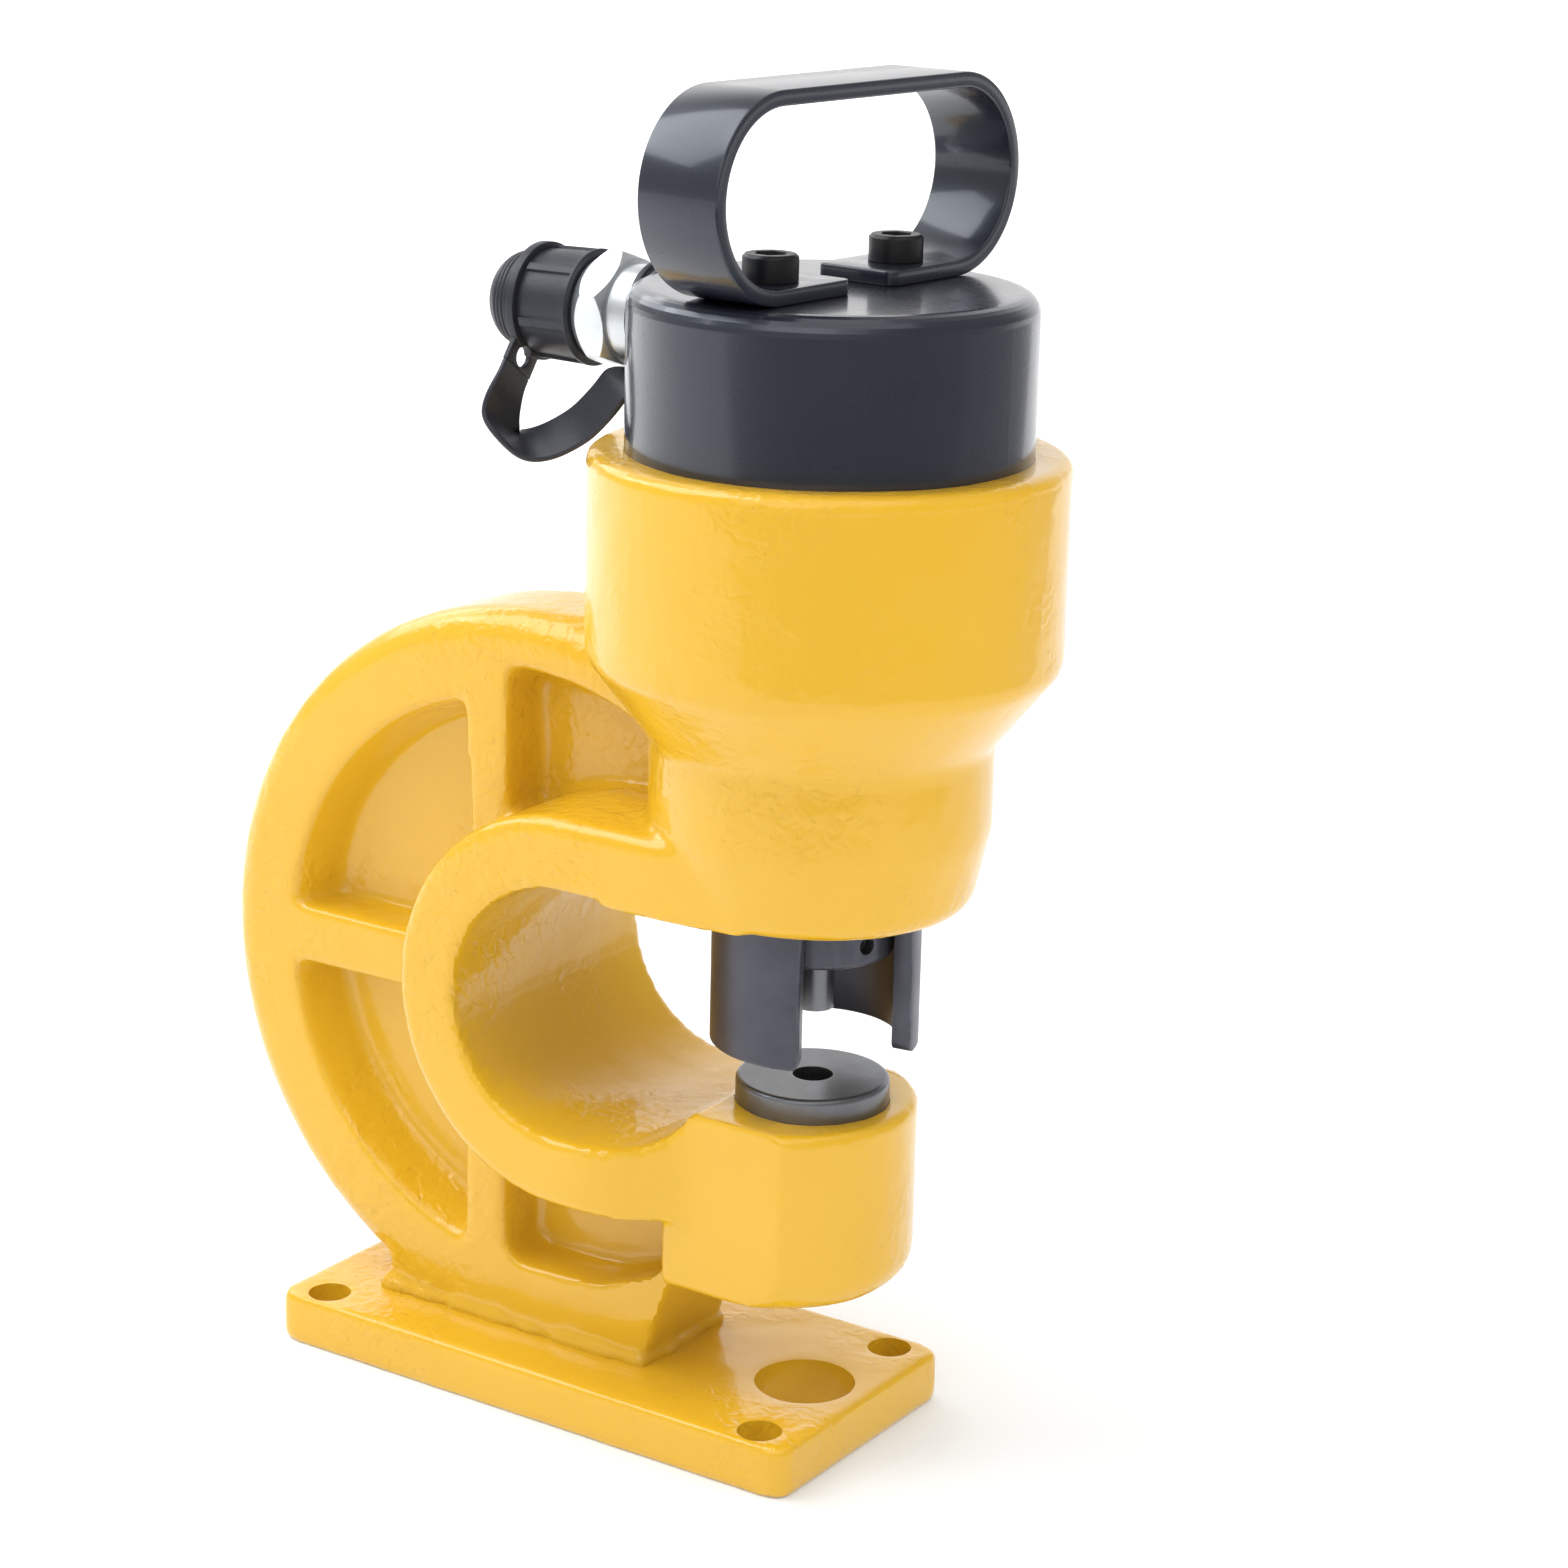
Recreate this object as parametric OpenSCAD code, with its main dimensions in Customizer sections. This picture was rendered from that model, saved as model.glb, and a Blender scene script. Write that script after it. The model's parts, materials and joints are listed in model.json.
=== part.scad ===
// Hydraulic hole punch: a cast C frame on a base plate, with a hydraulic cylinder screwed into its head.
// The origin lies on the punch axis at the underside of the base plate.
// +X points out of the throat, +Y to the far side and +Z up. All sizes are in millimetres.

/* [Base plate] */
// Length of the base plate, along the throat
base_l = 186; // [178:1:200]
// Width of the base plate
base_w = 86.5; // [84:0.5:100]
// Thickness of the base plate
base_t = 15.5; // [13:0.5:18]
// Distance from the punch axis to the front edge of the base plate
base_front = 21; // [20:0.5:26]
// Radius of the base plate's corners, seen from above
base_corner_r = 4.5; // [2:0.5:7]
// Diameter of the four bench bolt holes
bench_hole_d = 13; // [9:0.5:14]
// Pitch of the bench bolt holes along the plate
bench_pitch_l = 159; // [150:1:164]
// Pitch of the bench bolt holes across the plate
bench_pitch_w = 69; // [64:0.5:70]
// Diameter of the hole that lets the slugs fall through
slug_hole_d = 29.5; // [24:0.5:32]
// Thread diameter of the screws that hold the frame to the plate
base_screw_d = 10; // [8:1:10]
// Length of those screws
base_screw_l = 30; // [26:1:36]

/* [Throat] */
// Throat depth, from the punch axis to the back wall
throat_depth = 94.5; // [90:0.5:97]
// Radius of the round back of the throat
throat_r = 37.3; // [35:0.1:38.5]
// How far the throat's floor lies below the anvil face
throat_dip = 13; // [9:0.5:15]
// Wall of the ring around the throat
ring_t = 20.7; // [18:0.1:22]
// Width of the ring around the throat
ring_w = 92; // [89:0.5:94]
// Radius on the outer edges of the ring
ring_edge_r = 4; // [2:0.5:6]

/* [Spine] */
// Distance from the punch axis to the back of the spine
spine_back = 202; // [198:0.5:206]
// Radius of the spine's round back
spine_r = 112.5; // [111:0.5:115]
// Width of the spine
spine_w = 42; // [38:0.5:46]
// Radius on the spine's outer edges
spine_edge_r = 9; // [5:0.5:11]
// Depth of the spine's rim beside the large pockets
rim_t = 25.5; // [22:0.5:28]
// Depth of the spine's rim above the small upper pocket
rim_top_t = 15.5; // [13:0.5:18]
// Thickness of the web between the pockets
web_t = 9; // [7:0.5:12]
// How much narrower a pocket is at its floor
pocket_draft = 6; // [3:0.5:8]
// Width of the level rib behind the throat
level_rib_t = 18; // [14:0.5:22]
// Width of the upright rib above the throat
upper_rib_t = 12; // [9:0.5:15]
// Width of the upright rib below the throat
lower_rib_t = 15.5; // [12:0.5:18]
// Distance from the punch axis to the centre of both upright ribs
rib_back = 101.5; // [99:0.5:104]
// Length of the foot on the base plate
foot_l = 96; // [92:0.5:104]
// Distance from the punch axis to the front of the foot
foot_front = 44.6; // [41:0.1:48]
// Height of the square end at the back of the foot
foot_h = 11.5; // [8:0.5:14]

/* [Anvil] */
// Height of the anvil's face above the bench
anvil_z = 104; // [101:0.5:108]
// Height of the anvil block
anvil_h = 54.7; // [48:0.1:58]
// Width of the anvil block
anvil_w = 64.8; // [60:0.2:70]
// Radius of the anvil's round nose
nose_r = 38.2; // [35:0.1:41]
// Distance from the punch axis to the front of the nose
nose_front = 28.7; // [27:0.1:32]
// Radius under the nose
nose_edge_r = 10; // [4:0.5:12]
// Radius along the rim of the anvil's face
anvil_edge_r = 1.6; // [0.5:0.1:3]

/* [Die and punch] */
// Outer diameter of the die
die_d = 44; // [40:0.5:46]
// Depth of the die's seat in the anvil
die_seat = 9.5; // [8:0.5:11]
// How far the die stands above the anvil
die_rise = 7; // [4:0.5:9]
// Diameter of the punch's cutting end
punch_d = 11; // [8:0.5:13]
// Gap all round between the punch and the die's cutting edge
cut_clearance = 0.3; // [0.2:0.05:0.5]
// Gap between the punch tip and the die at rest
punch_lift = 20.6; // [18:0.2:22]
// Length of the punch that shows below its nut
punch_show = 17.6; // [15:0.2:20]
// Outer diameter of the punch nut
nut_d = 44; // [40:0.5:45]
// Height of the punch nut
nut_h = 22; // [20:0.5:26]
// Diameter of the spanner holes in the nut
spanner_hole_d = 5.2; // [4:0.1:6]

/* [Stripper] */
// Outer diameter of the stripper tube
stripper_d = 59.2; // [58:0.2:62]
// Wall of the stripper tube
stripper_wall = 5.6; // [4.6:0.1:6]
// Gap between the stripper's foot and the die
work_gap = 11.4; // [10:0.1:12]
// Length of the stripper inside the head
stripper_in = 20.5; // [16:0.5:24]
// Angle that each window opens
window_angle = 73; // [50:1:90]
// Direction that the front window faces, from the throat's mouth
window_turn = -28.5; // [-40:0.5:40]
// Radius on the lower corners of the stripper's legs
stripper_leg_r = 2.5; // [1:0.5:4]

/* [Head] */
// How far the head's lower end stands below the throat's roof
head_drop = 2; // [1:0.5:4]
// Diameter of the head at its lower end
tip_d = 88.6; // [86:0.2:91]
// Height of the straight part at the lower end
tip_h = 6.5; // [4:0.5:10]
// Height of the slow taper above it
taper_h = 17; // [14:0.5:20]
// Diameter of the neck
neck_d = 96; // [94:0.5:100]
// Height of the neck
neck_h = 24; // [20:0.5:28]
// Height of the cone below the collar
cone_h = 22.9; // [20:0.1:26]
// Diameter of the collar
collar_d = 132; // [128:0.5:138]
// Height of the collar
collar_h = 57; // [54:0.5:62]
// Radius on the collar's upper edge
collar_edge_r = 3; // [1:0.5:4]

/* [Cylinder] */
// Outer diameter of the cylinder
barrel_d = 111.3; // [108:0.1:114]
// Length of the cylinder above the collar
barrel_show = 44.4; // [42:0.2:50]
// Length of the cylinder inside the collar
barrel_in = 55; // [50:0.5:58]
// Bore of the cylinder
bore_d = 75; // [70:0.5:78]
// Thickness of the cylinder's crown
crown_t = 22.4; // [21:0.1:25]
// Radius on the crown's edge
crown_edge_r = 5.5; // [2:0.5:7]
// Stroke of the ram
stroke = 25; // [20:0.5:26]
// Diameter of the ram's rod
rod_d = 45; // [43:0.5:46]
// Height of the piston
piston_h = 26; // [24:0.5:30]
// Gap above the piston at rest
piston_gap = 2; // [1:0.5:4]
// Diameter of the return spring's wire
spring_wire_d = 5.5; // [4.5:0.1:6]
// Turns of the return spring
spring_turns = 4.5; // [3:0.5:4.5]
// Height of the rod's guide bush
bush_h = 26; // [20:0.5:28]
// Outer diameter of the guide bush
bush_d = 64; // [58:0.5:66]

/* [Handle] */
// Length of the carrying handle over its ends
handle_l = 134; // [124:1:144]
// Height of the handle
handle_h = 55.2; // [50:0.2:62]
// Width of the handle's strap
strap_w = 26; // [22:0.5:30]
// Thickness of the strap
strap_t = 4.2; // [3:0.1:5]
// Gap between the strap's two ends
strap_gap = 18; // [12:0.5:24]
// Radius on the corners of both ends
strap_corner_r = 3; // [1:0.5:5]
// Pitch of the two handle screws
handle_pitch = 55.6; // [50:0.2:60]
// Turn of the handle about the punch axis
handle_turn = -4; // [-8:0.5:8]
// Thread diameter of the handle screws
handle_screw_d = 10; // [8:0.5:10]
// Length of the handle screws below their heads
handle_screw_l = 20; // [16:0.5:21]
// Height of the handle screws' heads
handle_head_h = 7.3; // [6:0.1:9]

/* [Coupler] */
// Depth of the coupler's axis below the crown's face
port_drop = 13.9; // [13:0.1:16]
// Thread diameter of the oil port
port_d = 17; // [14:0.2:18]
// Diameter of the coupler's collar beside the cylinder
coupler_neck_d = 27; // [25:0.2:28]
// Length of that collar
coupler_neck_l = 9.5; // [8:0.1:12]
// Width across the coupler's hexagon flats
hex_af = 30; // [28:0.2:31]
// Length of the hexagon
hex_l = 11.9; // [10:0.1:14]
// Diameter of the coupler's threaded nose
nipple_d = 26; // [24:0.2:27]
// Length of the threaded nose
nipple_l = 24.5; // [22:0.1:27]
// Travel of the coupler's valve
valve_travel = 3; // [2:0.1:4]
// Outer diameter of the dust cap's rim
cap_d = 32.8; // [31.2:0.1:34]
// Length of the dust cap's skirt
cap_skirt_l = 17.8; // [16:0.1:20]
// Diameter of the dust cap's domed grip at its root
grip_d = 28.4; // [26.4:0.1:30]
// Length of the domed grip
grip_l = 13; // [11:0.1:15]
// Number of ridges on the grip
grip_ridges = 5; // [3:1:6]
// Outer diameter of the strap's eye
eye_d = 33.4; // [32.4:0.1:35]
// Thickness of the strap's eye on the dust cap
eye_t = 3; // [2.2:0.1:4]
// Width of the dust cap's strap
tether_w = 12.8; // [10:0.1:14]
// Thickness of the dust cap's strap
tether_t = 2; // [1.6:0.1:2.6]

/* [Hidden] */

$fn = 96;
eps = 0.01;
// Clearances: sliding pieces, screwed pieces and pieces that only stand beside each other
run_gap = 0.05;
thread_gap = 0.15;
seat_gap = 0.1;
free_gap = 0.3;

// Heights, from the anvil up
anvil_bottom = anvil_z - anvil_h;
die_top = anvil_z + die_rise;
die_bottom = anvil_z - die_seat;
tip_z = die_top + punch_lift;
stripper_z = die_top + work_gap;
nut_z = tip_z + punch_show;
throat_z = anvil_z - throat_dip + throat_r;
throat_x = -(throat_depth - throat_r);
ring_r = throat_r + ring_t;
throat_top = throat_z + throat_r;
head_z = throat_top - head_drop;
taper_z = head_z + tip_h;
neck_z = taper_z + taper_h;
cone_z = neck_z + neck_h;
collar_z = cone_z + cone_h;
collar_top = collar_z + collar_h;
barrel_z = collar_top - barrel_in;
crown_top = collar_top + barrel_show;
crown_under = crown_top - crown_t;
spine_top = collar_z + 1.5;
spine_x = -(spine_back - spine_r);
spine_z = spine_top - spine_r;
foot_back = foot_front + foot_l;
foot_top = base_t + foot_h;
// Where the foot's front edge meets the underside of the anvil
foot_lean = 11.6;
base_screw_inset = foot_l * 0.16;
base_screw_pitch_w = spine_w / 2;
nose_x = nose_front - nose_r;

// The inside of the head, from the bush down
bush_flange_t = 3;
bush_flange_d = bush_d + 10;
bush_top = barrel_z - 14;
bush_z = bush_top - bush_h;
rod_hole_d = rod_d + 3;
stripper_top = head_z + stripper_in;
wiper_d = rod_d + 11;
wiper_h = 5;
wiper_z = (stripper_top + bush_z) / 2 - wiper_h / 2;

// The ram and what it carries
piston_top = crown_under - piston_gap;
piston_z = piston_top - piston_h;
nut_lip = 4.8;
punch_head_h = 6;
punch_head_d = 27;
punch_shank_d = 16.6;
ram_nose_d = 33.6;
ram_z = nut_z + nut_lip + punch_head_h;
nut_top = nut_z + nut_h;
seal_h = 7;
seal_depth = 6;
backup_h = 2;
wear_h = 6;
wear_depth = 2.5;
seal_z = piston_top - 4 - seal_h;
backup_z = seal_z - backup_h;
wear_z = piston_z + 3.5;

// The coupler, measured outwards from the face that it screws against
spot_x = sqrt(pow(barrel_d / 2, 2) - pow(coupler_neck_d / 2 + 1.5, 2)) - 0.1;
spot_d = coupler_neck_d + 3;
port_z = crown_top - port_drop;
port_l = 18;
washer_t = 2.5;
hex_s = washer_t + coupler_neck_l;
nipple_s = hex_s + hex_l;
nipple_end = nipple_s + nipple_l;
hex_turn = -10;
cap_s = nipple_s + free_gap;
eye_s = cap_s + cap_skirt_l;
grip_s = eye_s + eye_t;
cap_end = grip_s + grip_l;
cap_bore_d = nipple_d + 0.6;
cap_bore_end = nipple_end + free_gap;
tip_step = 7;
tip_s = nipple_end - tip_step;
nipple_tip_d = nipple_d - 6;
cap_hub_d = nipple_tip_d + 4.8;
valve_bore_d = 12;
valve_d = valve_bore_d - 2 * run_gap;
valve_pin_d = 5;
valve_s = nipple_end - 18.5;
valve_spring_d = 9;

// The set screws in the anvil and in the collar
die_grub_d = 6;
grub_d = 8;
grub_l = 9;
lock_grub_l = max(9.05, (collar_d - barrel_d) / 2 - 1.3);
lock_grub_y = collar_d / 2 - 1.15 - lock_grub_l;
die_grub_z = (anvil_z + die_bottom) / 2 - 0.3;
lock_grub_z = collar_z + 26;

// The strap that holds the dust cap, as a smooth curve through eight numbers per point.
// The first is 0 at the loop on the coupler's collar and 1 at the cap's eye. Two give the place
// beside and above the coupler's axis, in radii of the eye. Three give the direction across the strap,
// from its upper to its lower edge, and one the width there, as a part of the strap's full width.
tether_loop_w = 2;
tether_loop_t = 1.6;
tether_loop_r = coupler_neck_d / 2 + free_gap + tether_loop_t / 2;
tether_loop_s = washer_t + 0.2 + tether_loop_w / 2;
tether_turn = 36.3;
tether_tab = 1.32;
tab_slot_w = 6;
tab_t = 1.6;
tether_rows = [
    [1, -0.79, -1.078, 0, -0.806, 0.592, 1],
    [0.997, -0.93, -1.255, 0, -0.806, 0.592, 1],
    [1.005, -1.07, -1.49, -0.2, -0.86, 0.47, 1],
    [1.015, -1.15, -1.72, -0.33, -0.85, 0.42, 1],
    [1.008, -1.19, -1.93, -0.38, -0.86, 0.34, 1],
    [0.976, -1.15, -2.1, 0.1, -0.97, 0.2, 1],
    [0.935, -1.04, -2.23, 0.42, -0.88, -0.2, 1],
    [0.887, -1, -2.29, 0.53, -0.73, -0.43, 1],
    [0.824, -0.94, -2.3, 0.57, -0.61, -0.56, 1],
    [0.749, -0.84, -2.26, 0.63, -0.49, -0.6, 1],
    [0.661, -0.78, -2.17, 0.67, -0.42, -0.61, 1],
    [0.56, -0.68, -2.02, 0.72, -0.37, -0.59, 1],
    [0.459, -0.62, -1.85, 0.75, -0.34, -0.57, 1],
    [0.36, -0.58, -1.6, 0.75, -0.34, -0.57, 1],
    [0.272, -0.54, -1.36, 0.77, -0.33, -0.54, 1],
    [0.214, -0.5, -1.13, 0.8, -0.32, -0.5, 1],
    [0.148, -0.42, -1.06, 0.84, -0.3, -0.45, 0.95],
    [0.08, -0.24, -1, 0.92, -0.2, -0.3, 0.7],
    [0.023, -0.02, -0.94, 0.98, -0.1, -0.12, 0.28],
    [0, 0.19, -0.853, 1, 0, 0, 0.15],
    [0, 0.36, -0.797, 1, 0, 0, 0.15]];

// Unit vector along v
function unit(v) = v / norm(v);

// Points of a round corner of radius r at b, between the sides that run to a and to c
function corner(a, b, c, r, n) =
    let (u = unit(a - b), v = unit(c - b), half = acos(u * v) / 2,
        o = b + unit(u + v) * (r / sin(half)),
        s = b + u * (r / tan(half)) - o, e = b + v * (r / tan(half)) - o,
        from = atan2(s.y, s.x), turn = (atan2(e.y, e.x) - from + 540) % 360 - 180)
    [for (i = [0 : n]) o + r * [cos(from + turn * i / n), sin(from + turn * i / n)]];

// Closed outline from corners [x, y, radius]
function soften(path, n = 6) =
    [for (i = [0 : len(path) - 1])
        let (p = path[i], q = path[(i + len(path) - 1) % len(path)], s = path[(i + 1) % len(path)])
        each (p.z > 0 ? corner([q.x, q.y], [p.x, p.y], [s.x, s.y], p.z, n) : [[p.x, p.y]])];

// Extrudes a side outline, drawn in X and Z, to both sides of the middle plane
module across(width) {
    rotate([90, 0, 0]) translate([0, 0, -width / 2]) linear_extrude(width) children();
}

// Turns a profile, drawn in radius and width, about an axis along Y
module wheel(x, z) {
    translate([x, 0, z]) rotate([90, 0, 0]) rotate_extrude($fn = 144) children();
}

// Puts its children on both sides of the middle plane
module both_sides() {
    children();
    mirror([0, 1, 0]) children();
}

// Puts its children on the coupler's axis, with +Z pointing away from the cylinder
module on_coupler(s = 0) {
    translate([-spot_x - s, 0, port_z]) rotate([0, -90, 0]) children();
}

// A ring between two radii
module ring(d_out, d_in, h) {
    difference() {
        cylinder(d = d_out, h = h);
        translate([0, 0, -eps]) cylinder(d = d_in, h = h + 2 * eps);
    }
}

// A grub screw along +Z with a hexagon socket in its upper end
module grub_screw(d, l) {
    difference() {
        union() {
            cylinder(d1 = d * 0.6, d2 = d, h = d * 0.2);
            translate([0, 0, d * 0.2]) cylinder(d = d, h = l - d * 0.2);
        }
        translate([0, 0, l - d * 0.5]) cylinder(d = d * 0.56, h = d, $fn = 6);
    }
}

// Where the spine's disc is kept: above the foot, behind the head and behind the anvil
module spine_outline() {
    polygon([[-foot_front, base_t], [-foot_front + foot_lean, anvil_bottom], [-20, anvil_bottom + 10],
        [-20, spine_top + 1], [-spine_back - 5, spine_top + 1], [-spine_back - 5, foot_top],
        [-foot_back, foot_top], [-foot_back, base_t]]);
}

// One pocket: what lies inside radius r of the spine's centre and inside an outline
module pocket(r) {
    floor_y = web_t / 2;
    depth = spine_w / 2 - floor_y;
    intersection() {
        translate([spine_x, -floor_y, spine_z]) rotate([90, 0, 0])
            cylinder(r1 = r - pocket_draft, r2 = r + pocket_draft * 0.2, h = depth * 1.2, $fn = 144);
        rotate([90, 0, 0]) linear_extrude(ring_w) children();
    }
}

module pockets() {
    rim_r = spine_r - rim_t;
    rib_top = spine_z + level_rib_t / 2;
    rib_under = spine_z - level_rib_t / 2;
    up_left = -rib_back - upper_rib_t / 2;
    up_right = -rib_back + upper_rib_t / 2 + 1.5;
    low_left = -rib_back - lower_rib_t / 2 - 1;
    low_right = -rib_back + lower_rib_t / 2 - 1;
    low_z = min(foot_top, spine_z - rim_r - 1);
    far = spine_back + 5;
    pocket(rim_r) polygon(soften([[-far, rib_top, 0], [up_left + 2, rib_top, 5],
        [up_left - 4, spine_top, 0], [-far, spine_top, 0]]));
    pocket(rim_r) polygon(soften([[-far, rib_under, 0], [low_left, rib_under, 5],
        [low_left, low_z, 6], [-far, low_z, 0]]));
    pocket(spine_r - rim_top_t) polygon(soften([[up_right, throat_z, 0], [-20, throat_z, 0],
        [-20, spine_top, 0], [up_right, spine_top, 0]]));
    pocket(spine_r) polygon(soften([[low_right, spine_z - rim_r, 7],
        [(low_right - foot_front) / 2 + 9, spine_z - rim_r + 1, 0], [-foot_front + 8.1, anvil_bottom - 3.3, 8],
        [-foot_front + 8.1, throat_z, 0], [low_right, throat_z, 0]]));
}

// The spine: a thick disc with round edges, hollowed by four pockets on each side
module spine() {
    half = spine_w / 2;
    difference() {
        intersection() {
            wheel(spine_x, spine_z) polygon(soften([[0, -half, 0], [spine_r, -half, spine_edge_r],
                [spine_r, half, spine_edge_r], [0, half, 0]]));
            across(spine_w + 2) spine_outline();
        }
        both_sides() pockets();
    }
    across(spine_w - 1.8 * spine_edge_r) {
        polygon(soften([[-spine_r, spine_top - 6, 0], [-spine_r + 12, spine_top, 30],
            [-collar_d / 2 + 1.3, spine_top, 9], [-collar_d / 2 + 1.3, spine_top + 9, 0],
            [-collar_d / 2 + 6, spine_top + 9, 0], [-collar_d / 2 + 6, spine_top - 6, 0]]));
        translate([-foot_back + 1, base_t]) square([foot_l - 2, spine_z - spine_r + rim_t - base_t]);
    }
    across(spine_w - 1.5) polygon(soften([[-foot_back, base_t, 0], [-foot_front, base_t, 0],
        [-foot_front + 4, foot_top, 0], [-foot_back, foot_top, 2]]));
}

// The wide ring around the throat, with its upper and lower arms
module throat_ring() {
    half = ring_w / 2;
    anvil_half = anvil_w / 2;
    tip_x = 3;
    tip_half = sqrt(pow(tip_d / 2, 2) - pow(tip_x, 2));
    arm_top = throat_z + ring_r;
    arm_under = throat_z - ring_r;
    intersection() {
        wheel(throat_x, throat_z) polygon(soften([[0, -half, 0], [ring_r, -half, ring_edge_r],
            [ring_r, half, ring_edge_r], [0, half, 0]]));
        translate([throat_x - ring_r - 1, -ring_w, throat_z - ring_r - 1])
            cube([ring_r + 1 + eps, 2 * ring_w, 2 * ring_r + 2]);
    }
    intersection() {
        translate([throat_x, 0, 0]) rotate([90, 0, 90]) linear_extrude(tip_x - throat_x)
            polygon(soften([[-half, throat_z, 0], [half, throat_z, 0],
                [half, arm_top, ring_edge_r], [-half, arm_top, ring_edge_r]]));
        translate([0, 0, throat_z - 1]) linear_extrude(ring_r + 2)
            polygon([[throat_x - 1, -half - 1], [-24, -half], [tip_x, -tip_half],
                [tip_x, tip_half], [-24, half], [throat_x - 1, half + 1]]);
    }
    intersection() {
        translate([throat_x, 0, 0]) rotate([90, 0, 90]) linear_extrude(-throat_x - 9)
            polygon(soften([[-half, arm_under, ring_edge_r], [half, arm_under, ring_edge_r],
                [half, anvil_z, 0], [-half, anvil_z, 0]]));
        translate([0, 0, arm_under - 1]) linear_extrude(ring_r + throat_r) polygon(soften([
            [throat_x - 1, -half, 0], [throat_x + 11, -half, 40], [-21, -anvil_half, 24], [-8, -anvil_half, 0],
            [-8, anvil_half, 0], [-21, anvil_half, 24], [throat_x + 11, half, 40], [throat_x - 1, half, 0]]));
    }
}

// The anvil block with its round nose
module anvil() {
    half = anvil_w / 2;
    intersection() {
        translate([nose_x, 0, 0]) rotate_extrude($fn = 144)
            polygon(soften([[0, anvil_bottom, 0], [nose_r, anvil_bottom, nose_edge_r],
                [nose_r, anvil_z, anvil_edge_r], [0, anvil_z, 0]]));
        translate([nose_x, -half, 0]) cube([2 * nose_r, anvil_w, anvil_z + 1]);
    }
    intersection() {
        translate([-40, 0, 0]) rotate([90, 0, 90]) linear_extrude(40 + nose_x)
            polygon(soften([[-half, anvil_bottom, 3], [half, anvil_bottom, 3],
                [half, anvil_z, anvil_edge_r], [-half, anvil_z, anvil_edge_r]]));
        translate([0, 0, anvil_bottom - 1]) linear_extrude(anvil_h + 2) polygon(soften([
            [-37, -spine_w / 2 + 2, 0], [-29, -half, 3], [nose_x + 1, -half, 0],
            [nose_x + 1, half, 0], [-29, half, 3], [-37, spine_w / 2 - 2, 0]]));
    }
}

// The head, turned about the punch axis
module head() {
    tip = tip_d / 2;
    neck = neck_d / 2;
    collar = collar_d / 2;
    rotate_extrude($fn = 144) polygon(soften([[0, head_z, 0], [tip, head_z, 7], [tip, taper_z, 6],
        [neck, neck_z, 8], [neck, cone_z, 5], [collar, collar_z, 6],
        [collar, collar_top, collar_edge_r], [0, collar_top, 0]]));
}

// The space of the throat, open to the front
module throat_space() {
    dip_r = (pow(22, 2) + pow(throat_dip, 2)) / (2 * throat_dip);
    floor_z = throat_z - throat_r;
    across(2 * ring_w) union() {
        translate([throat_x, throat_z]) circle(r = throat_r, $fn = 144);
        translate([throat_x, anvil_z]) square([15.2, throat_top - anvil_z]);
        translate([throat_x, anvil_z]) square([-throat_x + 60, head_z - anvil_z]);
        intersection() {
            translate([-42, floor_z + dip_r]) circle(r = dip_r, $fn = 144);
            translate([-42, floor_z - 1]) square([22, throat_dip + 1 + eps]);
        }
        translate([throat_x, floor_z]) square([-throat_x - 42 + eps, throat_r]);
    }
}

// Everything that is bored into the head from above
module head_bores() {
    translate([0, 0, barrel_z]) cylinder(d = barrel_d + 2 * thread_gap, h = barrel_in + 1);
    translate([0, 0, bush_top]) cylinder(d = bush_flange_d + 2 * seat_gap, h = barrel_z - bush_top + eps);
    translate([0, 0, bush_z]) cylinder(d = bush_d + 2 * seat_gap, h = bush_h + eps);
    translate([0, 0, head_z - 1]) cylinder(d = rod_hole_d, h = bush_z - head_z + 1 + eps);
    translate([0, 0, wiper_z]) cylinder(d = wiper_d + 2 * seat_gap, h = wiper_h);
    translate([0, 0, head_z - 1]) cylinder(d = stripper_d + 2 * thread_gap, h = stripper_in + 1);
}

module frame() {
    color("gold") difference() {
        union() {
            spine();
            throat_ring();
            anvil();
            head();
        }
        throat_space();
        head_bores();
        translate([0, 0, die_bottom]) cylinder(d = die_d + 2 * seat_gap, h = die_seat + 1);
        translate([0, 0, anvil_bottom - 1]) cylinder(d = die_d - 18, h = anvil_h);
        translate([0, die_d / 2 - 1, die_grub_z]) rotate([-90, 0, 0])
            cylinder(d = die_grub_d + 2 * seat_gap, h = anvil_w);
        translate([0, barrel_d / 2 - 1, lock_grub_z]) rotate([-90, 0, 0])
            cylinder(d = grub_d + 2 * seat_gap, h = collar_d);
        base_screw_places() translate([0, 0, base_t - 1])
            cylinder(d = base_screw_d + 2 * thread_gap, h = base_screw_l - base_t + 4);
    }
}

// Places of the screws between the plate and the foot
module base_screw_places() {
    for (x = [-foot_front - base_screw_inset, -foot_back + base_screw_inset * 1.1], side = [-1, 1])
        translate([x, side * base_screw_pitch_w / 2, 0]) children();
}

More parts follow.
